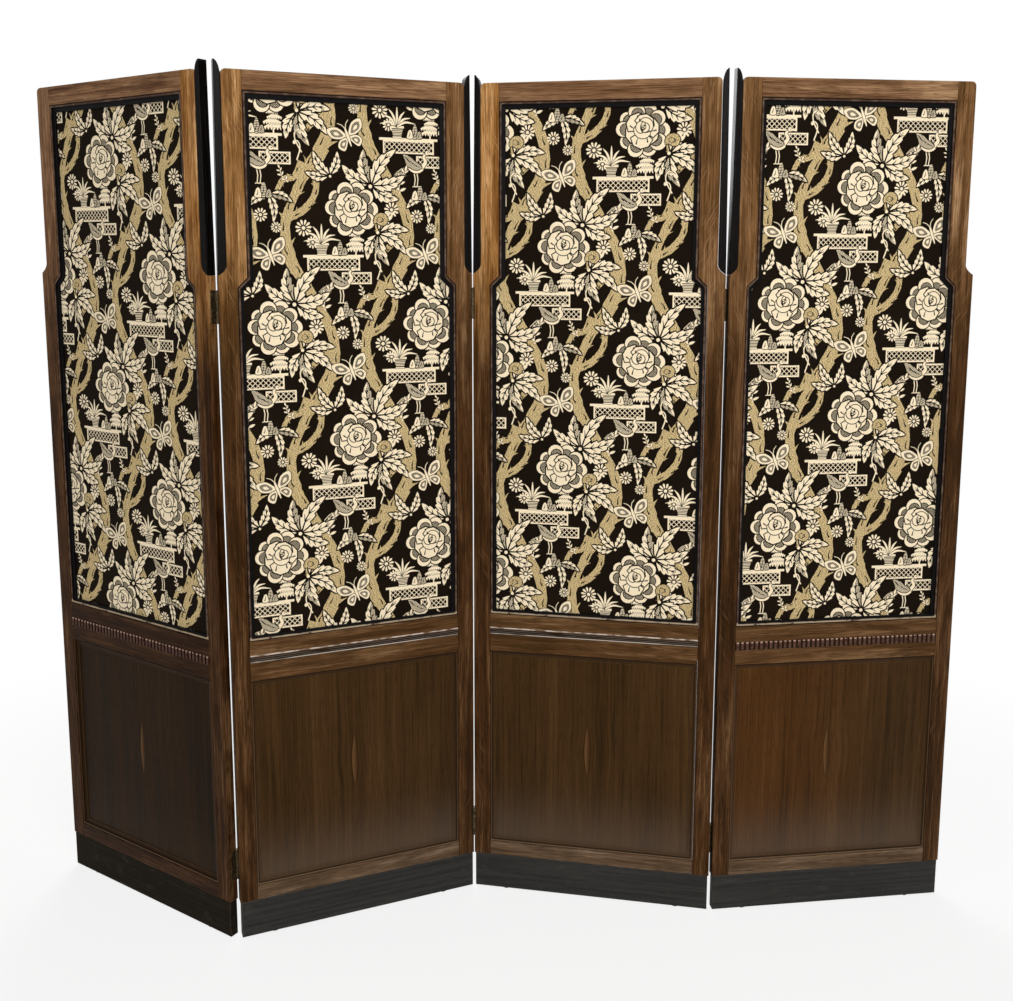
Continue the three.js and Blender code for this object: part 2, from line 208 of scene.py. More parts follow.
class Finish:
    """A material being made."""

    def __init__(self, name):
        self.material = bpy.data.materials.new(name)
        self.material.use_nodes = True
        self.tree = self.material.node_tree
        self.tree.nodes.clear()

    def node(self, kind, settings=None, inputs=None, output=0):
        made = self.tree.nodes.new("ShaderNode" + kind)
        for key, value in (settings or {}).items():
            setattr(made, key, value)
        for key, value in (inputs or {}).items():
            if isinstance(value, Signal):
                self.tree.links.new(value.socket, made.inputs[key])
            else:
                made.inputs[key].default_value = value
        return Signal(self, made.outputs[output]) if made.outputs else None

    def place(self, leaf=None):
        """Coordinates in a leaf's own space, of a solid part or of a piece drawn in that space."""
        here = self.node("TexCoord", output=3)
        if leaf is None:
            return here
        corner, turn, _ = SPACES[leaf].decompose()
        settings = {"vector_type": "TEXTURE"}
        return self.node("Mapping", settings, {0: here, 1: corner, 2: turn.to_euler()})

    def parts(self, vector):
        x = self.node("SeparateXYZ", inputs={0: vector})
        return x, x.also(1), x.also(2)

    def vector(self, x, y, z):
        return self.node("CombineXYZ", inputs={0: x, 1: y, 2: z})

    def noise(self, x, y, z, detail=2.0, roughness=0.5):
        inputs = {"Vector": self.vector(x, y, z), "Scale": 1.0, "Detail": detail, "Roughness": roughness}
        return self.node("TexNoise", inputs=inputs)

    def mixed(self, share, first, second):
        """Colour between two colours; a colour is a hex string or a signal."""
        first, second = (shade(c) if isinstance(c, str) else c for c in (first, second))
        return self.node("Mix", {"data_type": "RGBA"}, {0: share, 6: first, 7: second}, output=2)

    def rounded(self, radius):
        """Normal of the surface with its corners eased."""
        return self.node("Bevel", {"samples": 4}, {"Radius": radius})

    def worn(self, radius):
        """1 on the arrises that hands and dusters rub, 0 on the flats."""
        flat = self.node("NewGeometry", output=1)
        eased = self.rounded(radius)
        along = self.node("VectorMath", {"operation": "DOT_PRODUCT"}, {0: flat, 1: eased}, output=1)
        return (1 - along).ramp(0.008, 0.16)

    def close(self, colour, roughness, height, depth, strength, ease=None, **constants):
        """Ends the material with a Principled shader; what is given by name stays the same all over."""
        bump = {"Height": height, "Distance": depth, "Strength": strength}
        if ease:
            bump["Normal"] = self.rounded(ease)
        inputs = {"Base Color": colour, "Roughness": roughness, "Normal": self.node("Bump", inputs=bump)}
        for key, value in constants.items():
            inputs[key.replace("_", " ").title().replace("Ior", "IOR")] = value
        shader = self.node("BsdfPrincipled", inputs=inputs)
        self.node("OutputMaterial", inputs={0: shader})
        return self.material


def begin(name, leaf=None):
    """A new material, and its coordinates in a leaf's own space or else the object's."""
    finish = Finish(name)
    return (finish, *finish.parts(finish.place(leaf)))


def shade(code):
    """Linear colour of a hex string."""
    parts = [int(code[i:i + 2], 16) / 255 for i in (1, 3, 5)]
    return (*[p / 12.92 if p <= 0.04045 else ((p + 0.055) / 1.055) ** 2.4 for p in parts], 1.0)


# ------------ finishes


POLISH_TINT = (0.62, 0.38, 0.17, 1)
POLISH_SHINE = 0.22
DULL_SHINE = 0.06
# Heights over which the oak turns paler upward: painted light, brighter high up
PAINTED_LIGHT_HEIGHTS = (1.12, 1.56)

# Figure of the lower panels: a lens of grain, a border with quirks and a bead, and a foot greyed by a painted
# reflection of the floor
LENS_OFFSET = 0.009
LENS_DRIFT = 0.0015
LENS_NARROWING = 270
LENS_HALF_WIDTH = 0.0062
LENS_RIM = 0.0022
BORDER_EDGE = (0.0120, 0.0132)
QUIRK_START = (0.0036, 0.0043)
QUIRK_END = (0.0052, 0.0070)
BORDER_CREST = 0.0022
FOOT_TOP = 0.32

# Painted highlights on the reeds: the tops of upright ones, and the lowest of the level ones, below the
# strip's top
HIGHLIGHT_TOPS = (0.0034, 0.0022)
HIGHLIGHT_REED = (0.0084, 0.0074)

# Stripes of the weave, in millimetres
DIAGONAL_PITCH = 3.6
RIB_PITCH = 3.2
TWILL_PITCH = 1.15


def polish_of(leaf):
    """How a leaf's polish shines; the first leaf's looks dull in the photograph."""
    shine = DULL_SHINE if leaf == "leaf_1" else POLISH_SHINE
    return {"specular_ior_level": shine, "specular_tint": POLISH_TINT}


def oak(name, leaf, upright, seed, low, high, fleck, tilt):
    """Quartersawn oak, stained and polished: straight grain, fine pores and pale ray flecks.

    low and high are its dark, middle and pale tones below and above the height over which painted light
    makes it paler, fleck is how strong the flecks are and tilt how many degrees they lean."""
    finish, x, depth, z = begin(name, leaf)
    along, across = (z, x) if upright else (x, z)
    along = along + seed * 1.37
    across = across + seed * 0.211
    sway = finish.noise(across * 9, depth * 9, along * 2.2, 1.0) - 0.5
    line = across + sway * 0.014
    bands = finish.noise(line * 130, depth * 60, along * 2.4, 3.0, 0.6)
    broad = finish.noise(line * 30, depth * 20, along * 3.2, 2.0)
    thread = finish.noise(line * 460, depth * 300, along * 13, 2.0, 0.6)
    tone = bands * 0.36 + broad * 0.3 + thread * 0.34
    pores = finish.noise(line * 1250, depth * 900, along * 34, 1.0).ramp(0.56, 0.66) * bands.ramp(0.36, 0.56)
    slope = math.tan(math.radians(tilt))
    turn = finish.noise(across * 30, 0.0, along * 9, 1.0) - 0.5
    streak_side = across + along * slope + turn * 0.016
    streaks = finish.noise(streak_side * 520, depth * 90, along * 22, 1.0).ramp(0.58, 0.68)
    patches = finish.noise(across * 20, 0.0, along * 8, 2.0).ramp(0.47, 0.6)
    rays = streaks * patches * fleck
    # Painted light: the tones turn paler above a wavy height, as if lit more brightly high up
    cloudy = finish.noise(across * 14, 0.0, along * 5, 2.0) - 0.5
    painted_light_share = (z + cloudy * 0.34).ramp(*PAINTED_LIGHT_HEIGHTS)
    dark, mid, pale = (finish.mixed(painted_light_share, below, above) for below, above in zip(low, high))
    blotches = finish.noise(across * 46, 0.0, along * 7, 3.0, 0.6).ramp(0.48, 0.62)
    colour = finish.mixed(tone.ramp(0.4, 0.51), dark, mid)
    colour = finish.mixed(tone.ramp(0.5, 0.61), colour, pale)
    colour = finish.mixed(blotches * 0.6, colour, dark)
    colour = finish.mixed(pores * 0.8, colour, finish.mixed(painted_light_share, "#1b0d04", "#3a200c"))
    colour = finish.mixed(rays * 0.7, colour, pale)
    worn = finish.worn(0.0016) * finish.noise(along * 26, across * 140, depth * 140).ramp(0.4, 0.66)
    colour = finish.mixed(worn * 0.5, colour, finish.mixed(painted_light_share, "#8a6440", "#c49a68"))
    roughness = 0.36 + pores * 0.25 + bands * 0.2 - rays * 0.1
    height = thread * 0.4 - pores
    return finish.close(colour, roughness, height, 0.00012, 0.5, 0.0008, **polish_of(leaf))


def panel_oak(name, leaf, seed, tones, right_tones, lens_height, foot_reflection):
    """Dark polished oak board with upright grain, a lens of figure at its middle and a moulded border.

    Its dark, middle and pale tones are given for its left side and its right side, and foot_reflection is how
    grey a painted reflection of the floor makes its foot."""
    finish, x, depth, z = begin(name, leaf)
    # the lens, a little left of the middle; the grain parts round it
    off = x - (LEAF_WIDTH / 2 - LENS_OFFSET + LENS_DRIFT * math.sin(seed))
    rise = abs(z - lens_height)
    swell = (1 - rise * rise * LENS_NARROWING).most(0.0)
    side = abs(off)
    bend = (off * 26).least(1.0).most(-1.0) * swell * swell * (1 - side.ramp(0.004, 0.09)) * 0.006
    along = z + seed * 1.37
    across = x - bend + seed * 0.211
    sway = finish.noise(across * 7, 0.0, along * 1.8, 1.0) - 0.5
    line = across + sway * 0.02
    bands = finish.noise(line * 90, 0.0, along * 1.2, 4.0, 0.6)
    broad = finish.noise(line * 11, 0.0, along * 1.6, 2.0)
    thread = finish.noise(line * 430, depth * 200, along * 9, 2.0, 0.6)
    pores = finish.noise(line * 1200, depth * 500, along * 30, 1.0).ramp(0.57, 0.66)
    tone = bands * 0.36 + broad * 0.34 + thread * 0.3
    side_share = x.ramp(LEAF_WIDTH * 0.15, LEAF_WIDTH * 0.85)
    dark, mid, pale = (finish.mixed(side_share, left, right) for left, right in zip(tones, right_tones))
    colour = finish.mixed(tone.ramp(0.38, 0.52), dark, mid)
    colour = finish.mixed(tone.ramp(0.5, 0.64) * 0.55, colour, pale)
    colour = finish.mixed(pores * 0.55, colour, "#140a04")
    # Painted reflection of the pale floor greys the board towards its foot
    foot = 1 - z.ramp(PANEL_BOTTOM, FOOT_TOP)
    colour = finish.mixed(foot * foot * foot_reflection, colour, "#5b4d41")
    half = swell * LENS_HALF_WIDTH
    lens = (half - side).ramp(-0.0004, 0.0010)
    rim = (half + LENS_RIM - side).ramp(-0.0004, 0.0018) * swell.ramp(0.0, 0.15)
    colour = finish.mixed(rim * 0.7, colour, "#170b04")
    colour = finish.mixed(lens * 0.9, colour, finish.mixed(off.ramp(-0.005, 0.005), "#5f4328", "#3c2410"))
    # the border: painted shade in the quirks and a dark joint line at its edge; the bead's arrises worn, with
    # a painted highlight along its crest, strongest on the bottom side
    edge = (x - LOWER_STILE).least(LEAF_WIDTH - LOWER_STILE - x).least(z - PANEL_BOTTOM).least(PANEL_TOP - z)
    border = 1 - edge.ramp(*BORDER_EDGE)
    quirk = edge.ramp(*QUIRK_START) * (1 - edge.ramp(*QUIRK_END))
    crest = 1 - abs(edge - BORDER_CREST).ramp(0.0005, 0.0014)
    colour = finish.mixed(border * 0.4, colour, "#33200f")
    # painted shade in the quirks, and the dark joint line along the edge
    colour = finish.mixed(quirk * 0.8 + (1 - edge.ramp(0.0002, 0.0010)) * 0.9, colour, "#0c0603")
    # painted shadow of the rail along the top of the board
    painted_rail_shadow = 1 - (PANEL_TOP - z).ramp(0.0024, 0.0042)
    colour = finish.mixed(painted_rail_shadow * 0.75, colour, "#140805")
    # painted highlight on the bead's crest, strongest on the bottom side, which faces the light
    low = 1 - z.ramp(PANEL_BOTTOM + 0.001, PANEL_BOTTOM + 0.005)
    worn_and_lit = (finish.worn(0.0012) * border * 0.5).most(crest * (0.12 + low * 0.5))
    colour = finish.mixed(worn_and_lit * (1 - painted_rail_shadow), colour, "#8a7058")
    roughness = 0.34 + pores * 0.2 + bands * 0.16
    height = thread * 0.3 - pores
    return finish.close(colour, roughness, height, 0.0001, 0.4, 0.0008, **polish_of(leaf))


def strip_finish(name, leaf, upright, valley, body, crest):
    """Polished reeds, with painted shade in the valleys between them. Their crests are worn and carry a
    painted highlight, at the tops of upright reeds and along the lowest of the level ones."""
    finish, x, depth, z = begin(name, leaf)
    lift = 1 - (depth + STRIP_PROUD).ramp(0.0001, 0.0016)
    mottle = finish.noise(x * (160 if upright else 14), depth * 160, z * 160, 3.0)
    if upright:
        lit = z.ramp(*(STRIP_TOP - drop for drop in HIGHLIGHT_TOPS))
    else:
        lit = 1 - z.ramp(*(STRIP_TOP - drop for drop in HIGHLIGHT_REED))
    # Painted shade darkens the valleys between the reeds
    colour = finish.mixed(lift, valley, body)
    # Crests are worn and carry a painted highlight, strongest where lit
    worn_and_lit = lift.ramp(0.6, 1.0) * mottle.ramp(0.3, 0.55) * (0.12 + lit * 0.75)
    colour = finish.mixed(worn_and_lit, colour, crest)
    roughness = 0.26 + mottle * 0.2
    return finish.close(colour, roughness, mottle, 0.0001, 0.3, 0.0010, **polish_of(leaf))


def ebonised(name, leaf, seed, dark, mid):
    """Oak stained black, open-grained, scuffed grey-brown on its corners, over grey glides."""
    finish, x, depth, z = begin(name, leaf)
    x = x + seed * 1.3
    bands = finish.noise(x * 3.2, depth * 60, z * 130, 3.0)
    pores = finish.noise(x * 34, depth * 700, z * 1100, 1.0).ramp(0.56, 0.66)
    dust = finish.noise(x * 22, depth * 40, z * 40, 4.0, 0.6)
    colour = finish.mixed(bands.ramp(0.3, 0.7), dark, mid)
    colour = finish.mixed(pores * 0.5, colour, "#100f0e")
    colour = finish.mixed(dust.ramp(0.55, 0.75) * 0.3, colour, "#474640")
    scuffs = finish.worn(0.002) * dust.ramp(0.38, 0.6)
    colour = finish.mixed(scuffs * 0.7, colour, "#6a5b49")
    foot = 1 - z.ramp(GLIDE_TOP - 0.0002, GLIDE_TOP + 0.0002)
    colour = finish.mixed(foot, colour, "#5d5a55")
    roughness = 0.5 + bands * 0.16 + pores * 0.1 - foot * 0.2
    height = bands * 0.4 - pores
    shine = 0.03 if leaf == "leaf_1" else 0.15
    return finish.close(colour, roughness, height, 0.00015, 0.5, 0.0009, specular_ior_level=shine)


def moulding_black(name, leaf):
    """Black moulding whose rounded bead is worn to a purplish brown, with painted highlights on it and a
    painted highlight along the sill, and whose recess stays black.
    """
    finish, x, depth, z = begin(name, leaf)
    near = depth.least(LEAF_THICKNESS - depth)
    crest = 1 - near.ramp(0.0006, 0.0026)
    mottle = finish.noise(x * 70, depth * 300, z * 70, 3.0)
    colour = finish.mixed(crest, "#060404", "#412e25")
    # painted highlights on the bead's crest
    colour = finish.mixed(crest * mottle.ramp(0.42, 0.66) * 0.6, colour, "#75604e")
    # painted highlight along the bottom bead, where it faces the light
    sill_highlight = 1 - z.ramp(SILL_TOP - 0.002, SILL_TOP)
    colour = finish.mixed(sill_highlight * crest * mottle.ramp(0.3, 0.5) * 0.7, colour, "#b5a186")
    roughness = 0.32 + mottle * 0.2 + near * 20
    return finish.close(colour, roughness, mottle, 0.0001, 0.25, 0.0009, specular_ior_level=0.07)


def bead_finish(name, leaf):
    """Thin bead, mottled brown and pale; the pale is a painted highlight."""
    finish, x, depth, z = begin(name)
    mottle = finish.noise(x * 40, depth * 160, z * 160, 3.0)
    # the pale tone is a painted highlight along the top of the level strip
    colour = finish.mixed(mottle.ramp(0.35, 0.6), "#5d4a3c", "#c3b5a8")
    return finish.close(colour, 0.4 + mottle * 0.2, mottle, 0.0001, 0.25, **polish_of(leaf))


def black_lacquer(name, leaf):
    """Glossy black lacquer with long dragged streaks, dust and worn arrises."""
    finish, x, depth, z = begin(name, leaf)
    drag = finish.noise(x * 420, depth * 420, z * 7, 2.0)
    dust = finish.noise(x * 110, depth * 110, z * 60, 4.0, 0.6)
    colour = finish.mixed(drag.ramp(0.45, 0.75), "#080605", "#181412")
    colour = finish.mixed(dust.ramp(0.62, 0.8) * 0.12, colour, "#453f3b")
    worn = finish.worn(0.0012) * dust.ramp(0.4, 0.62)
    colour = finish.mixed(worn * 0.3, colour, "#65584d")
    roughness = 0.16 + drag * 0.16 + dust * 0.1
    return finish.close(colour, roughness, drag, 0.0001, 0.35, 0.0010, specular_ior_level=0.05)


def hinge_metal(name, leaf):
    """Tarnished iron, gone brassy where it is worn."""
    finish, x, depth, z = begin(name, leaf)
    patina = finish.noise(x * 180, depth * 180, z * 120, 5.0, 0.65)
    scratches = finish.noise(x * 900, depth * 900, z * 60, 1.0)
    colour = finish.mixed(patina.ramp(0.35, 0.65), "#2b2419", "#5a4a32")
    colour = finish.mixed(finish.worn(0.0009) * 0.8, colour, "#93805c")
    roughness = 0.38 + patina * 0.3 - scratches * 0.1
    height = patina + scratches * 0.4
    return finish.close(colour, roughness, height, 0.0001, 0.4, 0.0005, metallic=0.85)


def woven_cloth():
    """Two-tone figured cloth. The attribute on each face says which yarn floats on top there."""
    finish, x, _, z = begin("woven_cloth")
    x = x * 1000
    z = z * 1000
    yarn = finish.node("Attribute", {"attribute_name": "yarn"}, output=2)

    def floats(kind):
        return finish.node("Math", {"operation": "COMPARE"}, {0: yarn, 1: float(kind), 2: 0.5})

    def stripes(phase, pitch, low, high):
        wave = finish.node("Math", {"operation": "SINE"}, {0: phase * (math.tau / pitch)})
        return wave.ramp(low, high)

    rising = stripes(x - z, DIAGONAL_PITCH, -0.2, 0.2)
    falling = stripes(x + z, DIAGONAL_PITCH, -0.2, 0.2)
    level = stripes(z, RIB_PITCH, -0.2, 0.2)
    dashes = finish.noise(x * 0.42, 0.0, z * 1.1, 1.0).ramp(0.43, 0.51)
    light = (floats(CREAM) + floats(SPECKLED) * (0.12 + dashes * 0.88) + floats(RISING) * rising
             + floats(FALLING) * falling + floats(RIBBED) * level + floats(DOTTED) * rising * falling)
    twill = stripes(x * 0.7 + z, TWILL_PITCH, -1.0, 1.0)
    picks = finish.noise(x * 0.03, 0.0, z * 1.9, 2.0)
    shading = finish.noise(x * 0.008, 0.0, z * 0.008, 2.0)
    pale = finish.mixed(floats(SPECKLED), "#f5e6c8", "#dfc48b")
    pale = finish.mixed(picks.ramp(0.3, 0.7) * 0.5, pale, "#dfc598")
    pale = finish.mixed(twill * 0.14, pale, "#8d744a")
    dark = finish.mixed(picks.ramp(0.35, 0.7), "#0b0602", "#170f07")
    dark = finish.mixed(twill * 0.2, dark, "#251a10")
    dark = finish.mixed(shading.ramp(0.4, 0.7) * 0.3, dark, "#20160c")
    colour = finish.mixed(light, dark, pale)
    roughness = 0.8 - light * 0.16
    height = light + twill * 0.35 + picks * 0.2
    return finish.close(colour, roughness, height, 0.00025, 0.45, specular_ior_level=0.05)


# ------------ floor and light


FLOOR_HALF = 30
FLOOR_FADE = (1.2, 5.5)
LAMPS = {"front": ((0.6, -3.4, 2.7), 100), "back": ((-0.6, 3.4, 2.7), 80)}
LAMP_SIZE = 2.4
LAMP_AIM = Vector((0, 0, 0.9))
SURROUND = ((0.97, 0.98, 1.0, 1), 0.45)
SEEN_WHITE = ((1, 1, 1, 1), 1.0)


def floor_finish():
    """Pale floor that keeps the shadow near the screen and fades to plain white further off."""
    finish, x, y, _ = begin("pale_floor")
    away = (x * x + y * y * 1.4).ramp(*FLOOR_FADE)
    path = finish.node("LightPath")
    seen = path.most(path.also("Is Glossy Ray")).most(path.also("Is Transmission Ray"))
    speck = finish.noise(x * 40, y * 40, 0.0, 3.0)
    colour = finish.mixed(speck * 0.3, "#f2f1ef", "#ecebe8")
    plain = finish.node("BsdfDiffuse", inputs={"Color": colour})
    white = finish.node("Emission", inputs={"Color": (1, 1, 1, 1), "Strength": 1.0})
    share = seen * (0.78 + away * 0.22)
    floor = finish.node("MixShader", inputs={0: share, 1: plain, 2: white})
    finish.node("OutputMaterial", inputs={0: floor})
    return finish.material


def place_floor():
    mesh = bpy.data.meshes.new("floor")
    corners = [(x * FLOOR_HALF, y * FLOOR_HALF, 0) for x, y in ((-1, -1), (1, -1), (1, 1), (-1, 1))]
    mesh.from_pydata(corners, [], [(0, 1, 2, 3)])
    mesh.materials.append(floor_finish())
    floor = add_object("floor", mesh)


def place_lights():
    """Broad soft lamps before and behind the screen, and an even pale surround seen as white."""
    for name, (place, power) in LAMPS.items():
        data = bpy.data.lights.new(name + "_lamp", "AREA")
        data.shape = "DISK"
        data.size = LAMP_SIZE
        data.energy = power
        lamp = add_object(name + "_lamp", data)
        lamp.location = place
        lamp.visible_camera = False
        lamp.rotation_euler = (LAMP_AIM - Vector(place)).to_track_quat("-Z", "Y").to_euler()
    world = bpy.data.worlds.new("surround")
    bpy.context.scene.world = world
    world.use_nodes = True
    tree = world.node_tree
    tree.nodes.clear()
    path = tree.nodes.new("ShaderNodeLightPath")
    seen = path.outputs["Is Camera Ray"]
    for extra in ("Is Glossy Ray", "Is Transmission Ray"):
        either = tree.nodes.new("ShaderNodeMath")
        either.operation = "MAXIMUM"
        tree.links.new(seen, either.inputs[0])
        tree.links.new(path.outputs[extra], either.inputs[1])
        seen = either.outputs[0]
    mix = tree.nodes.new("ShaderNodeMixShader")
    tree.links.new(seen, mix.inputs[0])
    for slot, (colour, strength) in enumerate((SURROUND, SEEN_WHITE), 1):
        light = tree.nodes.new("ShaderNodeBackground")
        light.inputs[0].default_value = colour
        light.inputs[1].default_value = strength
        tree.links.new(light.outputs[0], mix.inputs[slot])
    output = tree.nodes.new("ShaderNodeOutputWorld")
    tree.links.new(mix.outputs[0], output.inputs[0])


# ------------ woven pattern


GROUND, CREAM, SPECKLED, RISING, FALLING, RIBBED, DOTTED = range(7)
SHADOW, WOOD, FRONT = range(3)
REPEAT = 320
DROP = complex(160, 235)
TRUNK_RISE = 470
PETAL_SPREAD = 104


def polar(length, degrees):
    return cmath.rect(length, math.radians(degrees))


def turned(points, degrees, centre=0j, size=1.0):
    spin = size * polar(1, degrees)
    return [centre + spin * point for point in points]


def smooth(knots, steps=5, closed=False):
    """Curve through the knots."""
    if closed:
        row = [knots[-1], *knots, knots[0], knots[1]]
    else:
        row = [2 * knots[0] - knots[1], *knots, 2 * knots[-1] - knots[-2]]
    curve = []
    for before, start, end, after in zip(row, row[1:], row[2:], row[3:]):
        for step in range(steps):
            t = step / steps
            pull = (end - before) * t + (2 * before - 5 * start + 4 * end - after) * t * t
            curve.append(start + 0.5 * (pull + (3 * start - before - 3 * end + after) * t**3))
    return curve if closed else [*curve, knots[-1]]


def sideways(path):
    """Unit normals to the left of an open path."""
    ahead = [path[min(i + 1, len(path) - 1)] - path[max(i - 1, 0)] for i in range(len(path))]
    return [1j * step / (abs(step) or 1) for step in ahead]


def band(path, widths):
    """Outline of a band along a path, with a width at each of its points."""
    normals = sideways(path)
    left = [p + n * w / 2 for p, n, w in zip(path, normals, widths)]
    right = [p - n * w / 2 for p, n, w in zip(path, normals, widths)]
    return right + left[::-1]


def grown(outline, margin):
    """The outline moved out all round by a margin."""
    count = len(outline)
    area = sum((outline[i - 1].conjugate() * outline[i]).imag for i in range(count))
    side = -1j if area > 0 else 1j
    moved = []
    for i, point in enumerate(outline):
        into = point - outline[i - 1]
        out = outline[(i + 1) % count] - point
        along = into / (abs(into) or 1) + out / (abs(out) or 1)
        if abs(along) < 0.3:
            moved.append(point + margin * (into - out) / (abs(into - out) or 1))
            continue
        moved.append(point + margin * side * along / abs(along))
    return moved


def disc(centre, radius, sides=12):
    return [centre + cmath.rect(radius, math.tau * i / sides) for i in range(sides)]


class Cloth:
    """Shapes of the woven pattern in painter's order, in millimetres: across + up * 1j."""

    def __init__(self, seed):
        self.layers = ([], [], [])
        self.layer = FRONT
        self.chance = random.Random(seed)

    def lay(self, outline, yarn):
        self.layers[self.layer].append((outline, yarn))

    def ring(self, outline, yarn, margin=3.0):
        ground_layer = SHADOW if self.layer == WOOD else self.layer
        self.layers[ground_layer].append((grown(outline, margin), GROUND))
        self.lay(outline, yarn)

    def line(self, path, width, yarn=GROUND, end=0.35):
        last = len(path) - 1
        self.lay(band(path, [width * (1 - (1 - end) * i / last) for i in range(last + 1)]), yarn)


def lobe(cloth, base, tip, width, bow, shade):
    """Pointed, toothed leaf with a dark rib and veins; one half may be shaded."""
    teeth = 3
    axis = tip - base
    across = 1j * axis / abs(axis)

    def rib(t):
        return base + axis * t + across * bow * abs(axis) * math.sin(math.pi * t)

    def edge(side):
        points = []
        for tooth in range(teeth + 1):
            start = 0.04 + 0.88 * tooth / (teeth + 1)
            for ahead, fullness in ((0.02, 0.76), (0.11, 0.98), (0.215, 1.16)):
                t = start + ahead * 4 / (teeth + 1)
                half = width / 2 * math.sin(math.pi * min(t, 1) ** 0.72) ** 0.85
                points.append(rib(t) + side * across * half * fullness)
        return points

    left = [base, *edge(1), tip]
    right = [base, *edge(-1), tip]
    middle = [rib(t / 6) for t in range(7)]
    cloth.ring(left + right[-2:0:-1], CREAM)
    if shade is not None:
        cloth.lay(right + middle[-2:0:-1], shade)
    cloth.line(middle[:-1], 3.4)
    for vein in range(1, teeth + 1):
        t = vein / (teeth + 1.6)
        reach = width * 0.34 * math.sin(math.pi * (t + 0.1) ** 0.72)
        for side in (1, -1):
            end = rib(t + 0.15) + side * across * reach
            cloth.line([rib(t), (rib(t) + end) / 2 + axis * 0.01, end], 2.6)


def palmate(cloth, base, heading, reach, spread, lobes, shaded):
    """Hand-shaped cluster of lobes, the middle one the longest and on top."""
    half = lobes // 2
    for rank in sorted(range(-half, half + 1), key=abs, reverse=True):
        turn = heading + spread * rank / half + cloth.chance.uniform(-4, 4)
        length = reach * (1 - 0.12 * abs(rank)) * (1 + 0.06 * cloth.chance.uniform(-1, 1))
        tip = base + polar(length, turn)
        start = base + polar(reach * 0.07, turn)
        shade = RISING if rank in shaded else None
        lobe(cloth, start, tip, reach * 0.28, 0.1 * (1 if rank >= 0 else -1), shade)
    cloth.lay(disc(base, reach * 0.045, 8), CREAM)


def petal(reach):
    """Petal about the +x axis, narrow at the flower's heart, with a rounded rim."""
    rim = []
    for share in (0, 0.25, 0.5, 0.75, 1):
        rise = 0.88 + 0.12 * math.sin(math.pi * share) ** 0.7
        rise *= 1 - 0.14 * (2 * share - 1) ** 2
        rim.append(polar(reach * rise, PETAL_SPREAD * (share - 0.5)))
    foot = [polar(reach * 0.1, PETAL_SPREAD * side) for side in (-0.35, 0.35)]
    return [foot[0], *rim, foot[1]]


def crescent(cloth, middle, radius, heading, sweep, width):
    """Curled petal edge: a band round part of a circle, pointed at both ends."""
    steps = 9
    arc = [middle + polar(radius, heading + sweep * (k / steps - 0.5)) for k in range(steps + 1)]
    widths = [0.4 + width * math.sin(math.pi * k / steps) ** 0.7 for k in range(steps + 1)]
    cloth.ring(band(arc, widths), CREAM, 1.8)


def blossom(cloth, centre, radius):
    """Full-blown flower: a frill of scallops round a bowl of broad petals and an off-centre heart."""
    jitter = cloth.chance.uniform
    frill = 10
    for i in [*range(0, frill, 2), *range(1, frill, 2)]:
        turn = 360 * i / frill + jitter(-5, 5)
        middle = centre + polar(radius * jitter(0.67, 0.72), turn)
        inner = centre + polar(radius * 0.6, turn)
        cloth.ring(disc(middle, radius * jitter(0.25, 0.3), 14), CREAM, 2.2)
        cloth.lay(disc(inner, radius * 0.235, 12), GROUND)
        cloth.lay(disc(inner, radius * 0.205, 12), DOTTED)
    for turn, size in ((200, 0.62), (330, 0.6), (130, 0.66), (20, 0.6), (75, 0.56), (265, 0.64)):
        reach = radius * size * jitter(0.96, 1.06)
        cloth.ring(turned(petal(reach), turn, centre), CREAM, 2.7)
        for fold, top in ((-0.22, 0.84), (0.3, 0.74)):
            knots = [polar(reach * r, PETAL_SPREAD * fold * (1.6 - 0.9 * r))
                     for r in (top, top - 0.18, top - 0.34)]
            cloth.line(turned(smooth(knots, 2), turn, centre), 3.0)
    heart = centre + polar(radius * 0.12, 70)
    curls = ((0.30, 250, 150, 0.2), (0.26, 40, 150, 0.17), (0.20, 180, 150, 0.14), (0.14, -20, 170, 0.11))
    for size, heading, sweep, width in curls:
        crescent(cloth, heart, radius * size, heading, sweep, radius * width)
    cloth.lay(disc(heart, radius * 0.09, 10), GROUND)
    for i in range(3):
        cloth.lay(disc(heart + cmath.rect(radius * 0.045, math.tau * i / 3), radius * 0.03, 6), CREAM)


def daisy(cloth, centre, radius):
    """Small flower with narrow petals round a button."""
    petals = 11
    for i in range(petals):
        turn = 360 * i / petals + 8
        shape = [0.3, 0.55 - 0.1j, 0.85 - 0.14j, 1.0 + 0j, 0.85 + 0.14j, 0.55 + 0.1j]
        cloth.lay(turned([complex(p) for p in shape], turn, centre, radius), CREAM)
    cloth.lay(disc(centre, radius * 0.34, 12), GROUND)
    cloth.lay(disc(centre, radius * 0.22, 10), CREAM)


def thorn(cloth, root, heading, length, width):
    """Pointed knot on a limb; the limb, drawn later, covers its root."""
    outline = [-0.1 - 0.5j, 0.35 - 0.2j, 1.0 + 0.12j, 0.42 + 0.18j, -0.1 + 0.5j]
    shape = [root + polar(1, heading) * complex(p.real * length, p.imag * width) for p in outline]
    cloth.ring(shape, SPECKLED, 2.4)


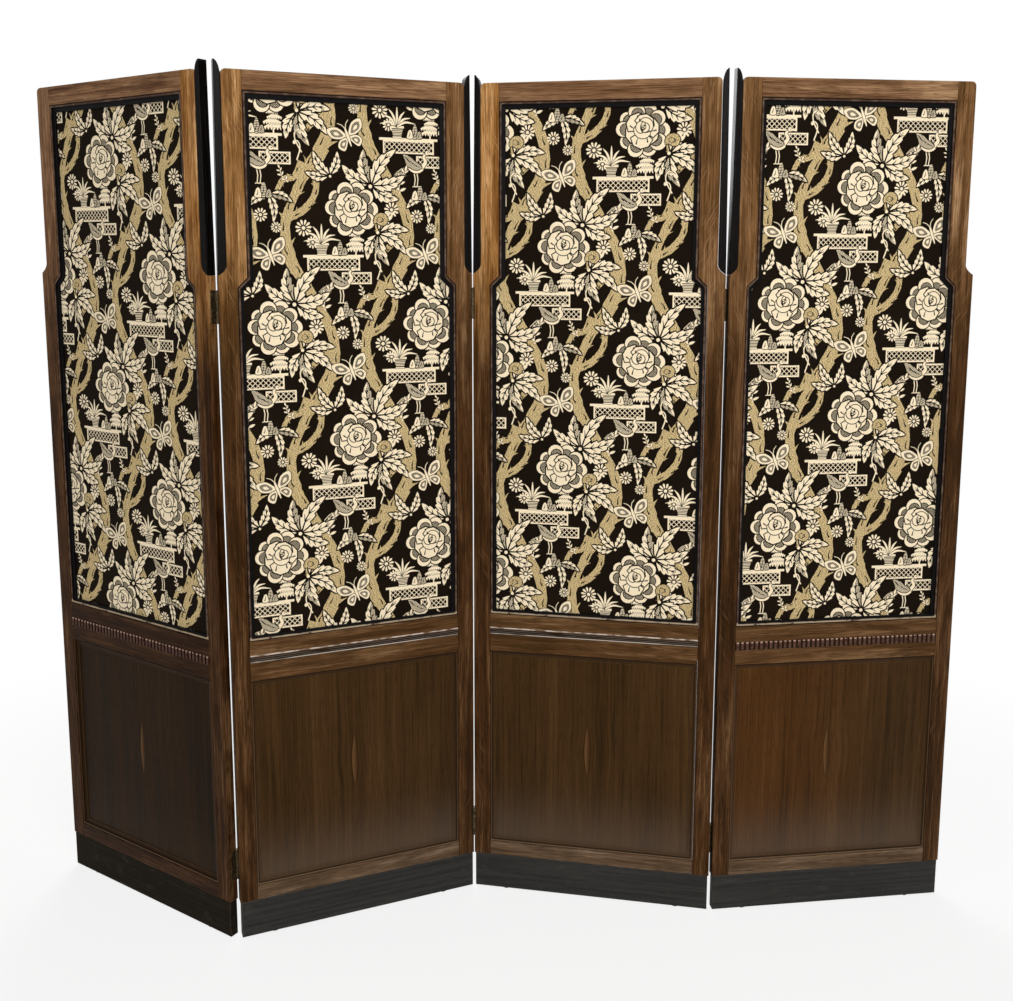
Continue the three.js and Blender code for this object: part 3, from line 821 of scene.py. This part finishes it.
def limb(cloth, knots, widths):
    """Knobbly limb along the knots: a speckled band with thorns and a few dark bark marks."""
    path = smooth(knots, 7)
    count = len(path)
    spans = len(knots) - 1
    thick = []
    for i in range(count):
        at = i / (count - 1) * spans
        low = min(int(at), spans - 1)
        width = widths[low] + (widths[low + 1] - widths[low]) * (at - low)
        bump = 0 if i in (0, count - 1) else cloth.chance.uniform(-1, 1)
        thick.append(width * (1 + 0.12 * bump))
    normals = sideways(path)
    side = 1
    for i in range(4, count - 4, 6):
        heading = math.degrees(cmath.phase(normals[i] * side)) - side * 38
        root = path[i] + side * normals[i] * thick[i] * 0.3
        thorn(cloth, root, heading, thick[i] * cloth.chance.uniform(0.5, 0.9), thick[i] * 0.6)
        side = -side
    cloth.ring(band(path, thick), SPECKLED, 2.6)
    for i in range(3, count - 4, 5):
        shift = cloth.chance.uniform(-0.3, 0.3) * thick[i]
        lean = cloth.chance.uniform(-0.16, 0.16) * thick[i]
        mark = [path[i] + normals[i] * shift,
                path[i + 1] + normals[i + 1] * (shift + lean),
                path[i + 2] + normals[i + 2] * (shift + lean * 0.2)]
        cloth.line(mark, 3.4, GROUND, 0.3)


def curl(cloth, start, heading, radius, width):
    """Limb end that rolls up to the right into a knob."""
    steps = 16
    turns = 1.15
    turn = math.radians(heading)
    point = start
    path = [point]
    for i in range(steps):
        left = 1 - i / steps
        stride = math.tau * turns * radius / steps * (0.35 + 0.65 * left)
        point += cmath.rect(stride, turn)
        turn -= math.tau * turns / steps
        path.append(point)
    widths = [width * (1 - 0.45 * i / steps) for i in range(steps + 1)]
    cloth.ring(band(path, widths), SPECKLED, 2.0)
    cloth.ring(disc(path[-1], width * 0.45, 9), SPECKLED, 1.2)


def tendril(cloth, start, heading, reach, side):
    """Thin climbing shoot that ends in a spiral."""
    path = [start]
    turn = math.radians(heading)
    point = start
    steps = 22
    for i in range(steps):
        point += cmath.rect(reach / steps * (1.6 - 1.35 * i / steps), turn)
        turn += side * math.tau * 1.35 * (i / steps) ** 1.4 / 9
        path.append(point)
    cloth.line(path, 2.6, CREAM, 0.6)
    cloth.lay(disc(path[-1], 2.6, 8), CREAM)


def sprig(cloth, start, heading, reach, pairs):
    """Shoot with small leaves in pairs and one at its tip."""
    bow = 0.15
    axis = polar(reach, heading)
    across = 1j * axis / reach
    shares = (0, 0.25, 0.5, 0.75, 0.96)
    stem = smooth([start + axis * t + across * bow * reach * math.sin(math.pi * t) for t in shares], 3)
    cloth.line(stem, 2.2, CREAM, 0.5)
    blade = [0j, 0.3 - 0.17j, 0.65 - 0.17j, 1 + 0j, 0.65 + 0.17j, 0.3 + 0.17j]
    for pair in range(pairs):
        at = stem[int((pair + 0.7) / (pairs + 0.3) * (len(stem) - 1))]
        size = reach * (0.30 - 0.03 * pair)
        for side in (1, -1):
            cloth.ring(turned(blade, heading + side * 48, at, size), CREAM, 1.0)
    cloth.ring(turned(blade, heading, stem[-2], reach * 0.26), CREAM, 1.0)


def bar(cloth, left, right, bottom, top, yarn=CREAM):
    cloth.lay([complex(left, bottom), complex(right, bottom), complex(right, top), complex(left, top)], yarn)


def fence(cloth, left, right, bottom, top):
    """Garden fence: rails and end posts with a crossed lattice between them."""
    pitch = 10.5
    rail = 3.0
    bar(cloth, left - 2, right + 2, bottom - 2, top + 2, GROUND)
    rise = top - bottom
    run = left - rise
    while run < right:
        for lean in (1, -1):
            low = bottom if lean > 0 else top
            first = max(run, left)
            last = min(run + rise, right)
            if last - first > 1:
                ends = [complex(x, low + lean * (x - run)) for x in (first, (first + last) / 2, last)]
                cloth.line(ends, 1.3, CREAM, 1.0)
        run += pitch
    for low in (bottom, top - rail):
        bar(cloth, left, right, low, low + rail)
    for post in (left, right - rail):
        bar(cloth, post, post + rail, bottom, top)


def pot(cloth, foot, size):
    """Ribbed pot on a foot, with a rim."""
    bowl = [-0.32 + 0.1j, 0.32 + 0.1j, 0.5 + 0.72j, -0.5 + 0.72j]
    cloth.ring(turned(bowl, 0, foot, size), RIBBED, 1.6)
    for low, high, half in ((0.0, 0.1, 0.38), (0.76, 0.94, 0.58)):
        outline = [complex(-half, low), complex(half, low), complex(half, high), complex(-half, high)]
        cloth.ring(turned(outline, 0, foot, size), CREAM, 1.2)


def grasses(cloth, root, reach):
    """Tuft of arching blades."""
    blades = 7
    spread = 62
    for i in range(blades):
        lean = spread * (2 * i / (blades - 1) - 1)
        length = reach * (1 - 0.3 * abs(lean) / spread) * cloth.chance.uniform(0.9, 1.1)
        tip = root + polar(length, 90 - lean)
        tip += complex(lean * 0.25, -abs(lean) * 0.2) * reach / spread
        middle = root + polar(length * 0.62, 90 - lean)
        path = smooth([root, middle, tip], 4)
        last = len(path) - 1
        widths = [0.8 + reach * 0.085 * math.sin(math.pi * (0.15 + 0.85 * k / last)) for k in range(last + 1)]
        cloth.ring(band(path, widths), CREAM, 1.0)


def fir(cloth, foot, height):
    """Small tree of flat feathery tiers."""
    tiers = 6
    teeth = 7
    cloth.line([foot, foot + 0.5j * height, foot + 1j * height], height * 0.05, CREAM, 0.6)
    for tier in range(tiers):
        share = tier / (tiers - 1)
        level = foot + 1j * height * (0.2 + 0.8 * share)
        half = height * (0.36 - 0.25 * share)
        sway = height * 0.04 * (-1) ** tier
        top = [-1 + 0j, -0.4 + 0.34j, 0.4 + 0.34j, 1 + 0j]
        lower = [complex(1 - k / teeth, -0.30 if k % 2 else -0.02) for k in range(1, 2 * teeth)]
        cloth.ring([level + sway + half * p for p in top + lower], CREAM, 1.1)


def butterfly(cloth, centre, size, tilt):
    """Butterfly seen from above."""
    upper = smooth([0.04 + 0.05j, 0.34 + 0.52j, 0.78 + 0.58j, 0.72 + 0.2j, 0.36 + 0.02j], 3, True)
    lower = smooth([0.04 - 0.02j, 0.4 - 0.04j, 0.56 - 0.3j, 0.34 - 0.52j, 0.12 - 0.26j], 3, True)
    for shape in (upper, lower):
        for mirrored in (False, True):
            wing = [-p.conjugate() for p in shape] if mirrored else shape
            middle = sum(wing) / len(wing)
            cloth.ring(turned(wing, tilt, centre, size), CREAM, 1.4)
            inner = [middle + (p - middle) * 0.66 for p in wing]
            cloth.lay(turned(inner, tilt, centre, size), DOTTED)
            core = [middle + (p - middle) * 0.3 for p in wing]
            cloth.lay(turned(core, tilt, centre, size), CREAM)
    body = turned([0.36j, 0j, -0.42j], tilt, centre, size)
    cloth.ring(band(body, [size * 0.07, size * 0.13, size * 0.04]), CREAM, 1.2)
    for side in (1, -1):
        feeler = turned([0.36j, side * 0.1 + 0.56j, side * 0.26 + 0.68j], tilt, centre, size)
        cloth.line(feeler, 1.6, CREAM, 0.7)


def crane(cloth, foot, size):
    """Long-necked bird standing with a lifted wing."""

    def at(points):
        return [foot + size * p for p in points]

    for x in (0.0, 0.09):
        leg = [x - 0.02 + 0.46j, x + 0.02 + 0.24j, x - 0.01 + 0j]
        claw = [x - 0.07 + 0j, x + 0.015j, x + 0.08 + 0j]
        cloth.line(at(leg), 2.2, CREAM, 0.8)
        cloth.line(at(claw), 1.8, CREAM, 0.8)
    for drop in (0.0, 0.08, 0.16):
        plume = smooth([-0.12 + 0.56j, complex(-0.42, 0.5 - drop), complex(-0.66, 0.34 - 1.4 * drop)], 4)
        last = len(plume) - 1
        widths = [0.03 + 0.07 * math.sin(math.pi * k / last) for k in range(last + 1)]
        cloth.ring(at(band(plume, widths)), RISING, 1.2)
    body = smooth([-0.2 + 0.56j, 0.0 + 0.42j, 0.22 + 0.46j, 0.32 + 0.6j, 0.2 + 0.7j, -0.02 + 0.68j], 4, True)
    cloth.ring(at(body), CREAM, 1.4)
    neck = smooth([0.24 + 0.6j, 0.36 + 0.76j, 0.3 + 0.92j, 0.4 + 1.04j], 5)
    last = len(neck) - 1
    cloth.ring(at(band(neck, [0.13 - 0.075 * k / last for k in range(last + 1)])), CREAM, 1.3)
    head = smooth([0.36 + 1.0j, 0.44 + 0.98j, 0.5 + 1.03j, 0.45 + 1.1j, 0.37 + 1.09j], 3, True)
    cloth.ring(at(head), CREAM, 1.2)
    cloth.lay(at([0.48 + 1.06j, 0.47 + 1.0j, 0.66 + 0.98j]), CREAM)
    cloth.lay(disc(at([0.44 + 1.05j])[0], 1.2, 6), GROUND)
    wing = [0.24 + 0.62j, 0.08 + 0.74j, -0.16 + 0.92j, -0.36 + 0.98j,
            -0.3 + 0.8j, -0.24 + 0.66j, -0.06 + 0.54j, 0.12 + 0.52j]
    wing = smooth(wing, 4, True)
    cloth.ring(at(wing), FALLING, 1.6)
    for feather in range(4):
        start = complex(0.16 - 0.1 * feather, 0.6 + 0.04 * feather)
        end = start + complex(-0.17, 0.05 + 0.05 * feather)
        cloth.line(at([start, (start + end) / 2 + 0.01j, end]), 1.8)


def rocks(cloth, foot, size):
    """Garden stones, the tallest behind."""
    stone = [-0.5 + 0j, 0.5 + 0j, 0.46 + 0.5j, 0.18 + 1j, -0.22 + 0.9j, -0.5 + 0.4j]
    crack = [-0.2 + 0.2j, 0.0 + 0.45j, 0.02 + 0.75j]
    stones = ((0.05, 0.42, 0.95, RIBBED), (-0.32, 0.4, 0.6, CREAM), (0.38, 0.36, 0.5, FALLING))
    for x, width, height, yarn in stones:
        outline, dent = ([foot + size * complex(x + width * p.real, height * p.imag) for p in row]
                         for row in (smooth(stone, 2, True), crack))
        cloth.ring(outline, yarn, 1.5)
        cloth.line(dent, 2.0)


def one_repeat():
    """Everything in one repeat of the pattern, the things behind first."""
    cloth = Cloth(seed=7)
    # side limbs, then the climbing trunk, which meets itself one rise higher
    cloth.layer = WOOD
    limb(cloth, [-44 + 128j, -6 + 150j, 16 + 184j, 18 + 226j, 38 + 268j], [14, 16, 12, 14, 16])
    limb(cloth, [44 + 330j, 14 + 322j, -12 + 336j, -20 + 362j], [20, 15, 12, 9])
    limb(cloth, [206 + 96j, 182 + 92j, 160 + 70j, 134 + 62j], [20, 16, 12, 9])
    limb(cloth, [150 + 6j, 136 - 22j, 112 - 30j, 98 - 54j], [18, 14, 11, 8])
    trunk = [-8 + 0j, -38 + 52j, -46 + 115j, -28 + 172j, 6 + 235j, 38 + 288j, 48 + 350j, 26 + 412j]
    rise = 1j * TRUNK_RISE
    limb(cloth, [*trunk, trunk[0] + rise], [21, 26, 19, 17, 22, 26, 20, 18, 21])
    cloth.layer = FRONT
    curl(cloth, -20 + 358j, 98, 12, 11)
    # the wide bay: terrace with a pot, a tree and stones
    fence(cloth, 66, 128, 0, 24)
    fence(cloth, -4, 104, 28, 54)
    bar(cloth, -12, 112, 54, 59)
    pot(cloth, 26 + 59j, 25)
    grasses(cloth, 26 + 81j, 42)
    fir(cloth, 96 + 59j, 58)
    rocks(cloth, 62 + 59j, 28)
    # flowers and foliage
    palmate(cloth, 128 + 196j, 58, 88, 84, 5, (1,))
    palmate(cloth, 142 + 104j, -34, 78, 80, 5, (-1,))
    palmate(cloth, 46 + 214j, 122, 60, 50, 3, ())
    blossom(cloth, 88 + 150j, 56)
    # the narrow bay
    palmate(cloth, 84 - 56j, -86, 54, 62, 3, (1,))
    rocks(cloth, 72 - 64j, 30)
    crane(cloth, 62 - 38j, 66)
    butterfly(cloth, 84 + 292j, 46, 20)
    daisies = ((-10 + 112j, 17), (8 + 84j, 13), (172 + 150j, 16), (66 + 372j, 14), (96 + 348j, 11))
    for centre, radius in daisies:
        daisy(cloth, centre, radius)
    sprig(cloth, 30 - 52j, 72, 52, 4)
    sprig(cloth, 122 - 34j, 118, 34, 3)
    tendril(cloth, 150 + 24j, 120, 70, -1)
    tendril(cloth, -20 + 244j, 70, 60, 1)
    return cloth




# ------------ cloth sheets


CLOTH_THICKNESS = 0.002
CLOTH_PHASES = {"leaf_1": 118 + 60j, "leaf_2": 20 + 196j, "leaf_3": 262 + 120j, "leaf_4": 190 + 5j}
MOST_STAMPS = 16


def inside(points, outline):
    """Which of the points lie inside an outline."""
    within = np.zeros(len(points), bool)
    for start, end in zip(outline, np.roll(outline, -1)):
        if start.imag == end.imag:
            continue
        crossing = (start.imag > points.imag) != (end.imag > points.imag)
        meets = start.real + (points.imag - start.imag) * (end.real - start.real) / (end.imag - start.imag)
        within ^= crossing & (points.real < meets)
    return within


def cut_flat(points, edges):
    """Triangles that keep every edge whole: their corners, and the corner numbers of each."""
    flat = [Vector((p.real, p.imag)) for p in points]
    corners, _, faces, *_ = delaunay_2d_cdt(flat, edges, [], 0, 1e-3, False)
    return np.array([complex(*corner) for corner in corners]), np.array([list(face) for face in faces])


def yarns_on_top(middles, shapes):
    """The yarn that shows at each of the points."""
    order = np.argsort(middles.imag)
    rows = middles[order]
    yarns = np.zeros(len(middles), np.int32)
    for outline, yarn in shapes:
        low, high = np.searchsorted(rows.imag, (outline.imag.min(), outline.imag.max()))
        near = rows[low:high]
        beside = np.nonzero((near.real > outline.real.min()) & (near.real < outline.real.max()))[0]
        yarns[order[low + beside[inside(near[beside], outline)]]] = yarn
    return yarns


def seams(triangles, yarns):
    """Edges between two yarns and along the rim of the cloth."""
    pairs = np.concatenate([triangles[:, sides] for sides in ([0, 1], [1, 2], [2, 0])])
    pairs.sort(axis=1)
    sides = np.tile(yarns, 3)
    order = np.lexsort((pairs[:, 1], pairs[:, 0]))
    pairs, sides = pairs[order], sides[order]
    same = np.all(pairs[1:] == pairs[:-1], axis=1)
    first = np.concatenate([[True], ~same])
    twin = np.concatenate([same, [False]])
    changes = np.concatenate([sides[1:] != sides[:-1], [False]])
    return pairs[first & (~twin | changes)]


def cloth_outline(leaf):
    """Outline of the solid fabric panel in its leaf's own space, in millimetres."""
    home = SPACES[leaf].inverted()
    corners = [home @ vertex.co for vertex in nodes[f"{leaf}_fabric_panel"].data.vertices]
    flat = {complex(round(p.x * 1000, 2), round(p.z * 1000, 2)) for p in corners}
    middle = sum(flat) / len(flat)
    return np.array(sorted(flat, key=lambda p: cmath.phase(p - middle)))


def cut_cloth(points, edges, rim, shapes):
    """Corners and triangles of the cloth inside its rim, and the yarn on top of each triangle."""
    corners, triangles = cut_flat(points, edges)
    triangles = triangles[inside(corners[triangles].mean(axis=1), rim)]
    return corners, triangles, yarns_on_top(corners[triangles].mean(axis=1), shapes)


def woven_mesh(leaf, repeat, phase):
    """Flat cloth cut along every change of yarn, with the yarn kept on its faces."""
    rim = cloth_outline(leaf)
    low = complex(rim.real.min(), rim.imag.min())
    high = complex(rim.real.max(), rim.imag.max())
    steps = range(-MOST_STAMPS, MOST_STAMPS + 1)
    stamps = [phase + i * REPEAT + j * DROP for j in steps for i in steps]
    stamps = [s for s in stamps if low.real - REPEAT < s.real < high.real + REPEAT
              and low.imag - TRUNK_RISE - DROP.imag < s.imag < high.imag + DROP.imag]
    stamps.sort(key=lambda s: (-s.imag, s.real))
    shapes = []
    for layer in repeat.layers:
        for stamp in stamps:
            for outline, yarn in layer:
                moved = np.array(outline) + stamp
                level = moved.real.max() > low.real and moved.real.min() < high.real
                if level and moved.imag.max() > low.imag and moved.imag.min() < high.imag:
                    shapes.append((moved, yarn))
    points = list(rim)
    edges = [(i, (i + 1) % len(rim)) for i in range(len(rim))]
    for outline, _ in shapes:
        start, count = len(points), len(outline)
        points.extend(outline)
        edges.extend((start + i, start + (i + 1) % count) for i in range(count))
    corners, triangles, yarns = cut_cloth(points, edges, rim, shapes)
    # cut again along the visible edges alone, so that no hidden edge stays
    kept, edges = np.unique(seams(triangles, yarns), return_inverse=True)
    edges = [tuple(map(int, pair)) for pair in edges.reshape(-1, 2)]
    corners, triangles, yarns = cut_cloth(corners[kept], edges, rim, shapes)
    mesh = bpy.data.meshes.new(f"{leaf}_cloth")
    front = LEAF_THICKNESS / 2 - CLOTH_THICKNESS / 2
    places = [(p.real / 1000, front, p.imag / 1000) for p in corners]
    mesh.from_pydata(places, [], triangles.tolist())
    mesh.attributes.new("yarn", "FLOAT", "FACE").data.foreach_set("value", yarns.astype(np.float32))
    mesh.update()
    return mesh


def hang_cloth():
    """A front and a back length of cloth on each leaf, cut from the same weave."""
    repeat = one_repeat()
    finish = woven_cloth()
    middle = Vector((LEAF_WIDTH / 2, LEAF_THICKNESS / 2, 0))
    about = Matrix.Translation(middle) @ Matrix.Rotation(math.pi, 4, "Z") @ Matrix.Translation(-middle)
    for leaf, phase in CLOTH_PHASES.items():
        mesh = woven_mesh(leaf, repeat, phase)
        mesh.materials.append(finish)
        rim = cloth_outline(leaf) / 1000
        area = abs(np.sum(rim.conjugate() * np.roll(rim, -1)).imag) / 2
        for side, turn in (("front", Matrix.Identity(4)), ("back", about)):
            sheet = add_piece(f"{leaf}_{side}_cloth", mesh, SPACES[leaf] @ turn, leaf)
            if side == "front":
                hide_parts(f"{leaf}_fabric_panel")


# ------------ screws


SCREW_RADIUS = 0.0027
SCREW_SIDES = 14
SCREW_CROWN = 0.86
SCREW_ROOT = 0.5
SCREW_EDGE = 0.3
SCREW_PROUD = 0.0002
SCREW_SINK = 0.0012
SCREW_SLOT = 0.0009
SCREW_SLOT_DEPTH = 0.0007
SCREW_ROWS = (0.008, 0.025, 0.041, 0.058)
SCREW_STAGGER = (0.0070, 0.0122)


def round_points(turns):
    return [(SCREW_RADIUS * math.cos(turn), SCREW_RADIUS * math.sin(turn)) for turn in turns]


def join_rings(target, low, high):
    """Adds the side faces between two rings of corners to a bmesh."""
    for i in range(len(low)):
        j = (i + 1) % len(low)
        target.faces.new((low[i], low[j], high[j], high[i]))


def screw_head(target, centre, outward, slot_turn):
    """Adds a countersunk screw head with its slot to a bmesh; outward is the way that it faces."""
    facing = outward.to_track_quat("Z", "Y").to_matrix().to_4x4()
    place = Matrix.Translation(centre) @ facing @ Matrix.Rotation(slot_turn, 4, "Z")
    sides = SCREW_SIDES
    half = SCREW_SLOT / 2
    reach = math.asin(half / SCREW_RADIUS)
    for side in (1, -1):
        rim = round_points(side * (math.pi / 2) + (math.pi / 2 - reach) * (2 * i / sides - 1)
                           for i in range(sides + 1))
        crown = [(SCREW_CROWN * x, max(abs(SCREW_CROWN * y), half) * side) for x, y in rim]
        levels = [(rim, -SCREW_SLOT_DEPTH), (rim, SCREW_PROUD * SCREW_EDGE), (crown, SCREW_PROUD)]
        rings = [[target.verts.new(place @ Vector((x, y, height))) for x, y in ring]
                 for ring, height in levels]
        target.faces.new(rings[-1])
        target.faces.new(rings[0][::-1])
        for low, high in zip(rings, rings[1:]):
            join_rings(target, low, high)
    base = round_points(math.tau * i / (2 * sides) for i in range(2 * sides))
    low = [target.verts.new(place @ Vector((SCREW_ROOT * x, SCREW_ROOT * y, -SCREW_SINK))) for x, y in base]
    high = [target.verts.new(place @ Vector((x, y, -SCREW_SLOT_DEPTH))) for x, y in base]
    target.faces.new(high)
    target.faces.new(low[::-1])
    join_rings(target, low, high)


def drive_screws(finishes):
    """Four screws in each hinge flap, in its plate's face on the edge of the leaf."""
    chance = random.Random(11)
    for fold, leaves in FOLD_LEAVES.items():
        for leaf, edge in zip(leaves, ("right", "left")):
            for level, bottom in HINGE_BOTTOMS.items():
                shape = bmesh.new()
                face = LEAF_WIDTH if edge == "right" else 0.0
                outward = Vector((1 if edge == "right" else -1, 0, 0))
                for i, row in enumerate(SCREW_ROWS):
                    depth = SCREW_STAGGER[i % 2]
                    if FOLD_FACES[fold] == "back":
                        depth = LEAF_THICKNESS - depth
                    centre = Vector((face, depth, bottom + row))
                    screw_head(shape, centre, outward, chance.uniform(0, math.pi))
                mesh = bpy.data.meshes.new("screws")
                shape.to_mesh(mesh)
                shape.free()
                mesh.materials.append(finishes[leaf])
                add_piece(f"{fold}_{level}_{leaf}_screws", mesh, SPACES[leaf], leaf)


# ------------ beads on the level strips


BEAD_LEVEL = STRIP_TOP + 0.0032
BEAD_HALF_HEIGHT = 0.0015
BEAD_PROUD = 0.0009
BEAD_SINK = 0.0004
BEAD_END = 0.0006


def plant_bead(leaf):
    """Thin half-round bead along the top of a leaf's level strip."""
    left, right = LOWER_STILE + BEAD_END, LEAF_WIDTH - LOWER_STILE - BEAD_END
    sides = 6
    turns = [math.pi * (i / sides - 0.5) for i in range(sides + 1)]
    section = [(-BEAD_PROUD * math.cos(t), BEAD_LEVEL + BEAD_HALF_HEIGHT * math.sin(t)) for t in turns]
    section += [(BEAD_SINK, BEAD_LEVEL + BEAD_HALF_HEIGHT), (BEAD_SINK, BEAD_LEVEL - BEAD_HALF_HEIGHT)]
    count = len(section)
    places = [(x, y, z) for x in (left, right) for y, z in section]
    faces = [(count + i, count + (i + 1) % count, (i + 1) % count, i) for i in range(count)]
    faces += [tuple(range(count)), tuple(range(count, 2 * count))[::-1]]
    mesh = bpy.data.meshes.new(f"{leaf}_bead")
    mesh.from_pydata(places, [], faces)
    mesh.update()
    mesh.materials.append(bead_finish(f"{leaf}_bead", leaf))
    add_piece(f"{leaf}_strip_bead", mesh, SPACES[leaf], leaf)


# ------------ dressing the solid parts


# dark, middle and pale tones of the oak; the deep ones low down and the paler ones high up are painted light
DEEP = ("#1e0e03", "#3e2511", "#65482e")
# Painted shade: darker oak for the first leaf's lower rails
DIM = ("#1a0d05", "#301c0e", "#4a321f")
GREYED = ("#403023", "#5e4936", "#7c6753")
WALNUT = ("#33200d", "#543820", "#75583b")
RUSSET = ("#4a301c", "#7c5a40", "#a5835f")
BROWN = ("#40280f", "#714f30", "#a3805c")
TAWNY = ("#533312", "#8f653a", "#c0986a")
GOLDEN = ("#653c15", "#a2723f", "#cfa371")
# Each stile's upper tones are painted light: paler on the stiles that face the light, browner on those turned
# from it
STILES = {"leaf_1": (RUSSET, GOLDEN), "leaf_2": (TAWNY, BROWN), "leaf_3": (GOLDEN, BROWN),
          "leaf_4": (BROWN, BROWN)}
# Rail tones are painted light: the top rail paler where the light is brightest, the bottom one greyed by a
# painted reflection of the floor
RAILS = {"top": RUSSET, "middle": WALNUT, "bottom": GREYED}
PANEL = ("#221506", "#382410", "#523a20")
RED_PANEL = ("#2b1604", "#45280e", "#5e3e20")
# Painted shade: the first leaf's darker panel, for a leaf that the light meets at a glancing angle
DARK_PANEL = ("#130a02", "#221405", "#35210d")
PANELS = {"leaf_1": (DARK_PANEL, DARK_PANEL), "leaf_2": (PANEL, PANEL), "leaf_3": (PANEL, PANEL),
          "leaf_4": (RED_PANEL, PANEL)}
# dark and middle tones of the plinths; the strips' valley tones, darkened as painted shade, their middle
# tones, and their crests' tones, worn and with painted highlight
EBONY = ("#211f1c", "#302f2c")
# Painted shade: the first leaf's darker plinth
DARK_EBONY = ("#14100a", "#221c13")
UPRIGHT_REEDS = ("#100402", "#2c130c", "#c09c88")
LEVEL_REEDS = ("#040201", "#1d120a", "#c3b5a8")
# How strongly a painted reflection of the floor greys the panels' feet; faint on the first leaf
FOOT_REFLECTION = 0.5
FAINT_FOOT_REFLECTION = 0.08
LENS_HEIGHTS = {"leaf_1": 0.352, "leaf_2": 0.352, "leaf_3": 0.343, "leaf_4": 0.352}


def wear(node, material):
    nodes[node].material_slots[0].material = material


def dress_leaf(leaf, number):
    """The frame, plinth, moulding, lower panel and strip of a leaf."""
    seed = number * 3.1
    for i, (side, tones) in enumerate(zip(("left", "right"), STILES[leaf])):
        name = f"{leaf}_{side}_stile"
        wear(name, oak(name, leaf, True, seed + i, DEEP, tones, 0.6, 24 - 48 * i))
    for i, (rail, tones) in enumerate(RAILS.items()):
        name = f"{leaf}_{rail}_rail"
        # painted shade on the first leaf's middle and bottom rails
        if leaf == "leaf_1" and rail != "top":
            tones = DIM
        wear(name, oak(name, leaf, False, seed + 5 + i, tones, tones, 0.3, 12))
    # painted shade: the first leaf's plinth darker
    black = DARK_EBONY if leaf == "leaf_1" else EBONY
    wear(f"{leaf}_plinth", ebonised(f"{leaf}_plinth", leaf, seed, *black))
    wear(f"{leaf}_fabric_moulding", moulding_black(f"{leaf}_moulding", leaf))
    foot_reflection = FAINT_FOOT_REFLECTION if leaf == "leaf_1" else FOOT_REFLECTION
    panel = panel_oak(f"{leaf}_panel", leaf, seed, *PANELS[leaf], LENS_HEIGHTS[leaf], foot_reflection)
    wear(f"{leaf}_lower_panel", panel)
    if leaf in ("leaf_1", "leaf_4"):
        strip = strip_finish(f"{leaf}_strip", leaf, True, *UPRIGHT_REEDS)
    else:
        strip = strip_finish(f"{leaf}_strip", leaf, False, *LEVEL_REEDS)
        plant_bead(leaf)
    wear(f"{leaf}_reeded_strip", strip)


def dress_edges():
    """The black fins and the hinges."""
    finishes = {}
    for leaf in SPACES:
        lacquer = black_lacquer(f"{leaf}_fin", leaf)
        finishes[leaf] = hinge_metal(f"{leaf}_hinge", leaf)
        for side in ("left", "right"):
            if f"{leaf}_{side}_fin" in nodes:
                wear(f"{leaf}_{side}_fin", lacquer)
    for fold, leaves in FOLD_LEAVES.items():
        for leaf, side in zip(leaves, ("left", "right")):
            for level in HINGE_BOTTOMS:
                wear(f"{fold}_{level}_hinge_{side}_flap", finishes[leaf])
    return finishes


place_camera()
place_floor()
place_lights()
for number, leaf in enumerate(SPACES, 1):
    dress_leaf(leaf, number)
metal = dress_edges()
drive_screws(metal)
hang_cloth()

bpy.context.scene.view_settings.view_transform = "Standard"
